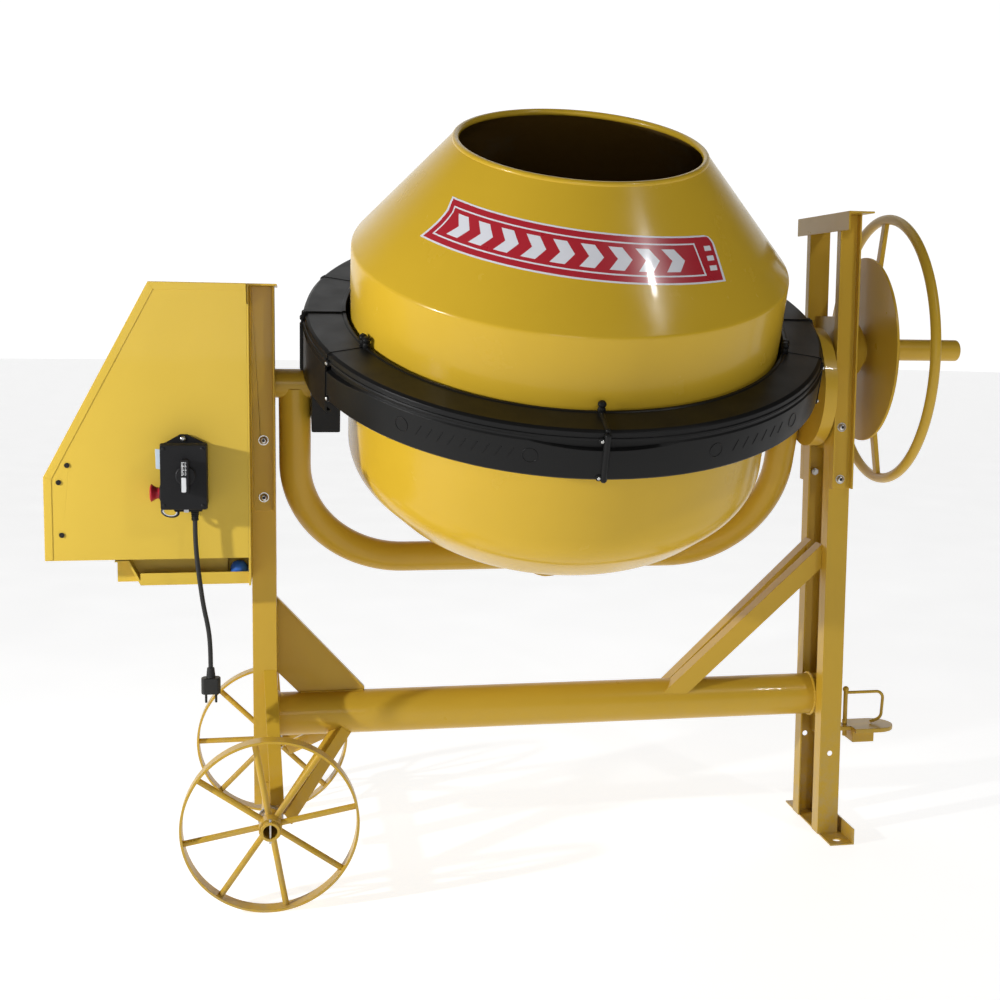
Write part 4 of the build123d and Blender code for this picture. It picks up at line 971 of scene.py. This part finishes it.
def pan_screw(name, radius, height):
    """Pan head with a cross slot, standing on Z = 0."""
    outline = [
        (0, height), (radius * 0.55, height * 0.96), (radius * 0.86, height * 0.72),
        (radius, height * 0.3), (radius, -height),
    ]
    head = turned(name, outline, 24)
    for turn in (0, QUARTER):
        slot = add_block(
            "slot", (-radius * 0.6, radius * 0.6), (-radius * 0.11, radius * 0.11),
            (height * 0.55, height * 2),
        )
        settle(slot, Matrix.Rotation(turn, 4, "Z"))
        modify(head, "BOOLEAN", object=slot, operation="DIFFERENCE")
        bpy.data.objects.remove(slot)
    return smooth(head, 40)


def yoke_moulding(name, pieces, *stands_for):
    """Joined pieces of black plastic, put in their place on the yoke."""
    piece = settle(merged(name, *pieces), YOKE)
    return fitted(piece, "yoke", guard_plastic, "black_plastic", *stands_for)


def guard_mouldings():
    """The guard's eight sections, two to a CAD node."""
    sections = {
        "front": ((-158, FRONT_JOINT), (FRONT_JOINT, -22)),
        "rear": ((22, 90), (90, 158)),
        "left": ((158, 180), (180, 202)),
        "right": ((-22, 0), (0, 22)),
    }
    for name, spans in sections.items():
        bottom = LEFT_BOTTOM if name == "left" else GUARD_BOTTOM
        long_sections = name in ("front", "rear")
        pieces = [guard_section(*span, bottom, span if long_sections else ()) for span in spans]
        yoke_moulding(f"guard_{name}_moulding", pieces, f"guard_{name}")


def guard_flanges():
    """Raised flanges round the joints at the sides."""
    places = [(180, LEFT_BOTTOM, 6, 1.3), (0, GUARD_BOTTOM, 5, 1.0)]
    places += [(azimuth, 34, 2.2, 1.0) for azimuth in (-158, 158)]
    places += [(azimuth, GUARD_BOTTOM, 2.2, 1.0) for azimuth in (-22, 22)]
    yoke_moulding("guard_flanges", [guard_flange(*place) for place in places])


def guard_clasps():
    """Clips over the joints; the front and rear joints have rods over them too."""
    clasps = []
    knob = clip_knob()
    for azimuth in GUARD_JOINTS:
        if azimuth in MIDDLE_JOINTS:
            rod = capsule("rod", mm(6.5), mm(64), mm(152))
            clasps.append(settle(rod, guard_place(azimuth, 544.5, 0)))
            strap = capsule("strap", mm(5), mm(468), mm(538))
            flat = guard_place(azimuth, 0, 160.5) @ Matrix.Rotation(QUARTER, 4, "Y")
            clasps.append(settle(strap, flat))
        for offset in (0,) if azimuth in MIDDLE_JOINTS else (-0.95, 0.95):
            clasps.append(duplicate(knob, guard_place(azimuth + offset, 462.5, 161)))
    bpy.data.objects.remove(knob)
    yoke_moulding("guard_clasps", clasps)


def guard_screws():
    """Screws in round bosses beside each joint, one high and one low."""
    screws, bosses = [], []
    screw = pan_screw("screw", mm(3.4), mm(2.4))
    for azimuth in GUARD_JOINTS:
        aside = 1.0 if azimuth in MIDDLE_JOINTS else 1.2
        if azimuth > -100:
            aside = -aside
        for height in (143, 68):
            place = guard_place(azimuth + aside, 546, height) @ Matrix.Rotation(QUARTER, 4, "Y")
            boss = add_disc("boss", mm(6.5), mm(7), (0, 0, mm(-2.2)), sides=28)
            bosses.append(settle(soften(boss, mm(1.4), 3), place))
            screws.append(duplicate(screw, place @ Matrix.Translation((0, 0, mm(1.2)))))
    bpy.data.objects.remove(screw)
    yoke_moulding("guard_screw_bosses", bosses)
    screws = settle(merged("guard_screws", *screws), YOKE)
    fitted(screws, "yoke", zinc_plate, "zinc_fastener")


def on_guard(piece, azimuth, height):
    """Wraps a piece drawn flat in XY, its relief along Z, on the guard's outer wall."""
    for vertex in piece.data.vertices:
        turn = math.radians(azimuth) + vertex.co.x / GUARD_R
        radius = GUARD_FACE_R + vertex.co.z
        height_s = mm(height) + vertex.co.y
        vertex.co = Vector((radius * math.cos(turn), radius * math.sin(turn), height_s))
    return piece


def relief_bar():
    """Thin slanted stroke with rounded edges, drawn flat."""
    stroke = add_block("stroke", mm(-12, 12), mm(-0.9, 0.9), mm(-0.8, 0.8))
    edit(stroke, everything=True)
    bpy.ops.mesh.subdivide(number_cuts=4)
    done()
    soften(stroke, mm(0.5), 2, 60)
    return settle(stroke, Matrix.Rotation(math.radians(60), 4, "Z"))


def guard_relief():
    """Raised rings and slanted strokes on the long front sections."""
    marks = []
    for azimuth in (-133, -106, -68, -44):
        ring = add_ring("ring", mm(14), mm(1.0), (0, 0, 0), around=48, section=10)
        marks.append(on_guard(ring, azimuth, MARK_HEIGHT))
    strokes = [-129 + number * 2.4 for number in range(9)]
    strokes += [-63 + number * 2.8 for number in range(6)]
    marks += [on_guard(relief_bar(), azimuth, MARK_HEIGHT) for azimuth in strokes]
    piece = settle(merged("guard_raised_marks", *marks), YOKE)
    fitted(smooth(piece, 40), "yoke", guard_plastic, "black_plastic")


drum_shell()
drum_bolts()
banner()
guard_mouldings()
guard_flanges()
guard_clasps()
guard_screws()
guard_relief()

# Switch box and its small parts, in millimetres from the axle's place


def spot(x, y, z):
    """A point given from the axle's place, in metres."""
    return Vector((AXLE.x + mm(x), mm(y), mm(z)))


def along_y(line):
    """True for an edge that runs from front to back."""
    return abs((line.verts[0].co - line.verts[1].co).normalized().y) > 0.9


def slab(name, x, y, z, round_y=0.0, edge=0.0008):
    """Block with rounded corners seen from the front and small softened edges."""
    x = tuple(AXLE.x + mm(value) for value in x)
    piece = add_block(name, x, mm(*y), mm(*z))
    if round_y:
        pick(piece, "EDGE", along_y)
        bpy.ops.mesh.bevel(offset=mm(round_y), segments=8, clamp_overlap=True)
        done()
    return soften(piece, edge, 2)


def prism_y(name, corners, y):
    """Plate through (x, z) corners, between two depths."""
    points = [spot(x, y[0], z) for x, z in corners]
    plate = drawn(name, points, closed=True)
    edit(plate, "VERT", everything=True)
    bpy.ops.mesh.edge_face_add()
    bpy.ops.mesh.extrude_region_move(TRANSFORM_OT_translate={"value": (0, mm(y[1] - y[0]), 0)})
    bpy.ops.mesh.select_all(action="SELECT")
    bpy.ops.mesh.normals_make_consistent(inside=False)
    done()
    return plate


def box_moulding(piece, *stands_for):
    """A piece in the box's black plastic, fixed to the frame."""
    return fitted(piece, "frame", box_plastic, "box_plastic", *stands_for)


def switch_box():
    """Box with its ear, rim, lid and the lid's four studs."""
    body = slab("switch_box_body", (-199.5, -114.5), (-227, -175), (779.5, 902), 4, 0.0012)
    ear = prism_y("ear", [(-199, 900), (-115, 900), (-154, 919), (-166, 919)], (-183, -175))
    soften(ear, mm(1), 2)
    rim = slab("rim", (-200.5, -113.5), (-229, -222), (778.5, 905.5), 3, 0.0012)
    box_moulding(merged("switch_box_body", body, ear, rim), "switch_box")
    parts = [slab("switch_lid_cover", (-200, -114), (-239, -228.4), (779, 903.5), 4, 0.0022)]
    for x in (-193, -121):
        for z in (787, 896):
            stud = turned("stud", mm_points([(0, 1.2), (2.6, 1.0), (3.6, 0.3), (3.8, -2)]), 20)
            parts.append(smooth(settle(stud, along(FRONT, spot(x, -239, z)))))
    box_moulding(merged("switch_lid_cover", *parts), "switch_lid")


def selector():
    """Round base with a grip and small print on it."""
    base = turned("grip", arc_points([
        mm(0, 5.5), mm(17, 5.5, 1.2), mm(19, 3.5, 1.2), mm(19, 0), mm(6, 0), mm(6, -14), mm(0, -14),
    ]), 48)
    base = smooth(settle(base, along(FRONT, spot(-153, -239.5, 845))), 30)
    handle = slab("handle", (-161, -146), (-259, -244), (813, 877), 3.5, 0.0018)
    grip = merged("selector_grip", base, handle)
    fitted(grip, "selector", grip_plastic, "grip_plastic", "selector_knob")
    print_y = (-259.4, -258.9)
    lines = [slab("label", (-159.5, -151), (-259.5, -258.9), (815, 843), 1.6, 0.0001)]
    for number in range(11):
        z = 847 + number * 2.4
        wide = 3.0 + 1.1 * (number * 5 % 3)
        for x, length, tall in ((-159.5, wide, 1.3), (-153.2, wide * 0.6, 1.1)):
            lines.append(slab("mark", (x, x + length), print_y, (z, z + tall), 0, 0.0001))
    fitted(merged("selector_labels", *lines), "selector", label_print, "grip_plastic")
    outline = [(-210, 855), (-199, 853), (-199, 892), (-211, 893)]
    tag = soften(prism_y("side_tag", outline, (-206, -204.8)), mm(0.4), 2)
    fitted(tag, "frame", tag_plastic, "box_plastic")


def stop_button():
    """Red mushroom button on the box's left side, in its collar."""
    button = turned("stop_mushroom", arc_points([
        mm(0, 24.4), mm(13, 23.6, 6), mm(17, 21.6, 1), mm(16.6, 19.4, 1), mm(10.5, 11, 9),
        mm(11.5, 4.4), mm(9, 4.4), mm(9, -3), mm(0, -3),
    ]), 64)
    button = smooth(settle(button, along(LEFT, spot(-198, -205, 808))), 35)
    fitted(button, "stop", red_plastic, "red_plastic", "stop_button")
    collar = turned("stop_collar", arc_points([
        mm(12.2, 0), mm(12.2, 4.0, 0.6), mm(15.5, 3.4, 1.2), mm(16.5, 0),
    ]), 48)
    box_moulding(smooth(settle(collar, along(LEFT, spot(-199.6, -205, 808))), 35))


def seal():
    """Wire loop that hangs under the box, with a pale band on it."""
    tilt = Matrix.Translation(spot(-184, -214, 772)) @ Matrix.Rotation(math.radians(62), 4, "X")
    tilt = tilt @ Matrix.Rotation(math.radians(-14), 4, "Z")
    for name, radius, wire, height, section, material, slot in (
        ("seal_loop", 12, 2.4, 0, 12, lead_rubber, "black_rubber"),
        ("seal_band", 10.4, 1.3, 1.6, 10, label_print, "box_plastic"),
    ):
        at = (0, 0, mm(height))
        ring = add_ring(name, mm(radius), mm(wire), at, around=48, section=section)
        ring.data.transform(Matrix.Diagonal((1.25, 0.8, 1, 1)))
        fitted(settle(ring, tilt), "frame", material, slot)


def box_fittings():
    """Foot, clip and ribbed gland under the box, and the screw in its ear."""
    box_moulding(slab("box_foot", (-176, -124), (-222, -192), (773, 781), 3, 0.001))
    clip = slab("box_clip", (-158, -149), (-226, -220), (772, 779), 1.5, 0.0006)
    fitted(clip, "frame", label_print, "box_plastic")
    ribs = [
        (7.6, 22), (8.4, 20), (7.2, 18), (8.0, 16), (6.8, 14), (7.6, 12), (6.5, 10), (7.2, 8),
        (6.2, 6), (6.9, 4),
    ]
    gland = turned("ribbed_gland", arc_points([
        mm(4.5, 27), mm(9, 27), mm(9, 23, 0.6), *(mm(*rib, 0.6) for rib in ribs),
        mm(6.6, 0, 0.8), mm(4.5, 0),
    ]), 40)
    gland = smooth(settle(gland, Matrix.Translation(spot(*LEAD_ROUTE[0]))), 40)
    box_moulding(gland, "cord_gland")
    screw = pan_screw("ear_screw", mm(5.4), mm(3.6))
    settle(screw, along(FRONT, spot(-160.5, -183, 910.5)))
    fitted(screw, "frame", zinc_plate, "zinc_fastener")


# Housing: hems along the folded edges, inner wall of the tray

HOUSING_EDGE = [(-40, 1211), (-221, 1211), (-419, 836), (-419, 675)]
HOUSING_HALF = 175
HEM_WIDTH = 14
HEM_THICKNESS = 1.2


def hems():
    """Folded hems that lie on both side panels along their outer edges."""
    strips = []
    inner = inset(HOUSING_EDGE, HEM_WIDTH)
    for side in (-1, 1):
        depths = (side * HOUSING_HALF, side * (HOUSING_HALF + HEM_THICKNESS))
        for here in range(len(HOUSING_EDGE) - 1):
            corners = [*HOUSING_EDGE[here:here + 2], inner[here + 1], inner[here]]
            strip = prism_y("hem", corners, depths)
            strips.append(soften(strip, mm(0.5), 2))
    fitted(merged("housing_hems", *strips), "frame", housing_enamel, "housing_paint")
    parts = [
        slab("wall", (-293, -80), (-120, -118), (621, 690), 0, 0.0006),
        slab("step", (-82, -80), (-120, -103), (621, 690), 0, 0.0006),
        slab("back", (-82, -42), (-105, -103), (621, 700), 0, 0.0006),
    ]
    fitted(merged("tray_inner_wall", *parts), "frame", housing_enamel, "housing_paint")


# Weld beads

TUBE_WELD_R = mm(46.6)
BASE_TUBE_Z = 308.5
LEFT_COLUMN_X, RIGHT_COLUMN_X = 14, 1200


def ring_weld(radius, size, at):
    """Rippled fillet weld round a tube along X."""
    bead = add_ring("bead", radius, size, (0, 0, 0), around=160, section=8)
    ripples = round(radius / size * 2.4)
    for vertex in bead.data.vertices:
        turn = math.atan2(vertex.co.y, vertex.co.x)
        heart = Vector((math.cos(turn), math.sin(turn), 0)) * radius
        swell = 1 + 0.14 * math.sin(turn * ripples) + 0.12 * math.sin(turn * 7 + 1)
        vertex.co = heart + (vertex.co - heart) * swell
    return settle(bead, along((1, 0, 0), at))


def line_weld(start, end, size):
    """Straight fillet weld between two points."""
    start, end = Vector(start), Vector(end)
    run = end - start
    rings = max(6, round(run.length / size * 1.6))
    outline = [(size * 0.2, 0)]
    for step in range(rings + 1):
        swell = 1 + 0.16 * math.sin(step * 2.4) + 0.1 * math.sin(step * 0.7)
        outline.append((size * swell, run.length * step / rings))
    outline.append((size * 0.2, run.length))
    bead = turned("bead", outline, 10)
    return smooth(settle(bead, along(run.normalized(), start)), 60)


def welds():
    """Beads where the base tube and the gusset meet the columns."""
    beads = [
        ring_weld(TUBE_WELD_R, mm(3.2), spot(x, 0, BASE_TUBE_Z))
        for x in (LEFT_COLUMN_X, RIGHT_COLUMN_X)
    ]
    for side in (-1, 1):
        y = side * 4
        upright = spot(LEFT_COLUMN_X, y, 402), spot(LEFT_COLUMN_X, y, 552)
        beads.append(line_weld(*upright, mm(2.4)))
        beads.append(line_weld(spot(62, y, 354.5), spot(192, y, 354.5), mm(2.2)))
    fitted(merged("frame_welds", *beads), "frame", frame_enamel, "yellow_paint")


# Bolts of the head channels: (x, z) of each pair

BOLT_PLACES = [(-10, 783), (-10, 899), (1225, 811), (1225, 926)]
HEAD_FACE_Y = 88.9


def head_bolts():
    """Socket-head bolts with domed heads, washers and nuts through the head channels; a black disc
    in each socket is painted shade.
    """
    outline = arc_points([
        mm(0, 7), mm(4, 6.8, 2), mm(7.4, 4.6, 3), mm(8.4, 0.9, 0.6), mm(8.4, 0.4), mm(10, 0.4),
        mm(10, -1.2), mm(4.6, -1.2), mm(4.6, -26), mm(0, -26),
    ])
    bolt = turned("bolt", outline, 40)
    socket = add_disc("socket", mm(3.6), mm(8), (0, 0, mm(7)), sides=6)
    modify(bolt, "BOOLEAN", object=socket, operation="DIFFERENCE")
    bpy.data.objects.remove(socket)
    smooth(bolt, 30)
    # Black disc at the bottom of each hex socket: painted shade in the socket's recess.
    socket_shade = add_disc("socket_shade", mm(3.5), mm(0.6), (0, 0, mm(3.4)), sides=24)
    nut = settle(hex_head("nut", mm(15), mm(8)), Matrix.Translation((0, 0, mm(-19))))
    soften(nut, mm(0.4), 1, 50)
    whole = merged("bolt", bolt, nut)
    bolts, socket_shades = [], []
    for x, z in BOLT_PLACES:
        for side in (-1, 1):
            place = along((0, side, 0), spot(x, side * HEAD_FACE_Y, z))
            bolts.append(duplicate(whole, place))
            socket_shades.append(duplicate(socket_shade, place))
    bpy.data.objects.remove(whole)
    bpy.data.objects.remove(socket_shade)
    socket_shades = soften(merged("painted_socket_shade", *socket_shades), mm(0.1), 1)
    fitted(socket_shades, "frame", black_screw, "black_screw")
    fitted(merged("head_bolts", *bolts), "frame", zinc_plate, "zinc_fastener", "frame_bolts")


switch_box()
selector()
stop_button()
seal()
box_fittings()
hems()
welds()
head_bolts()
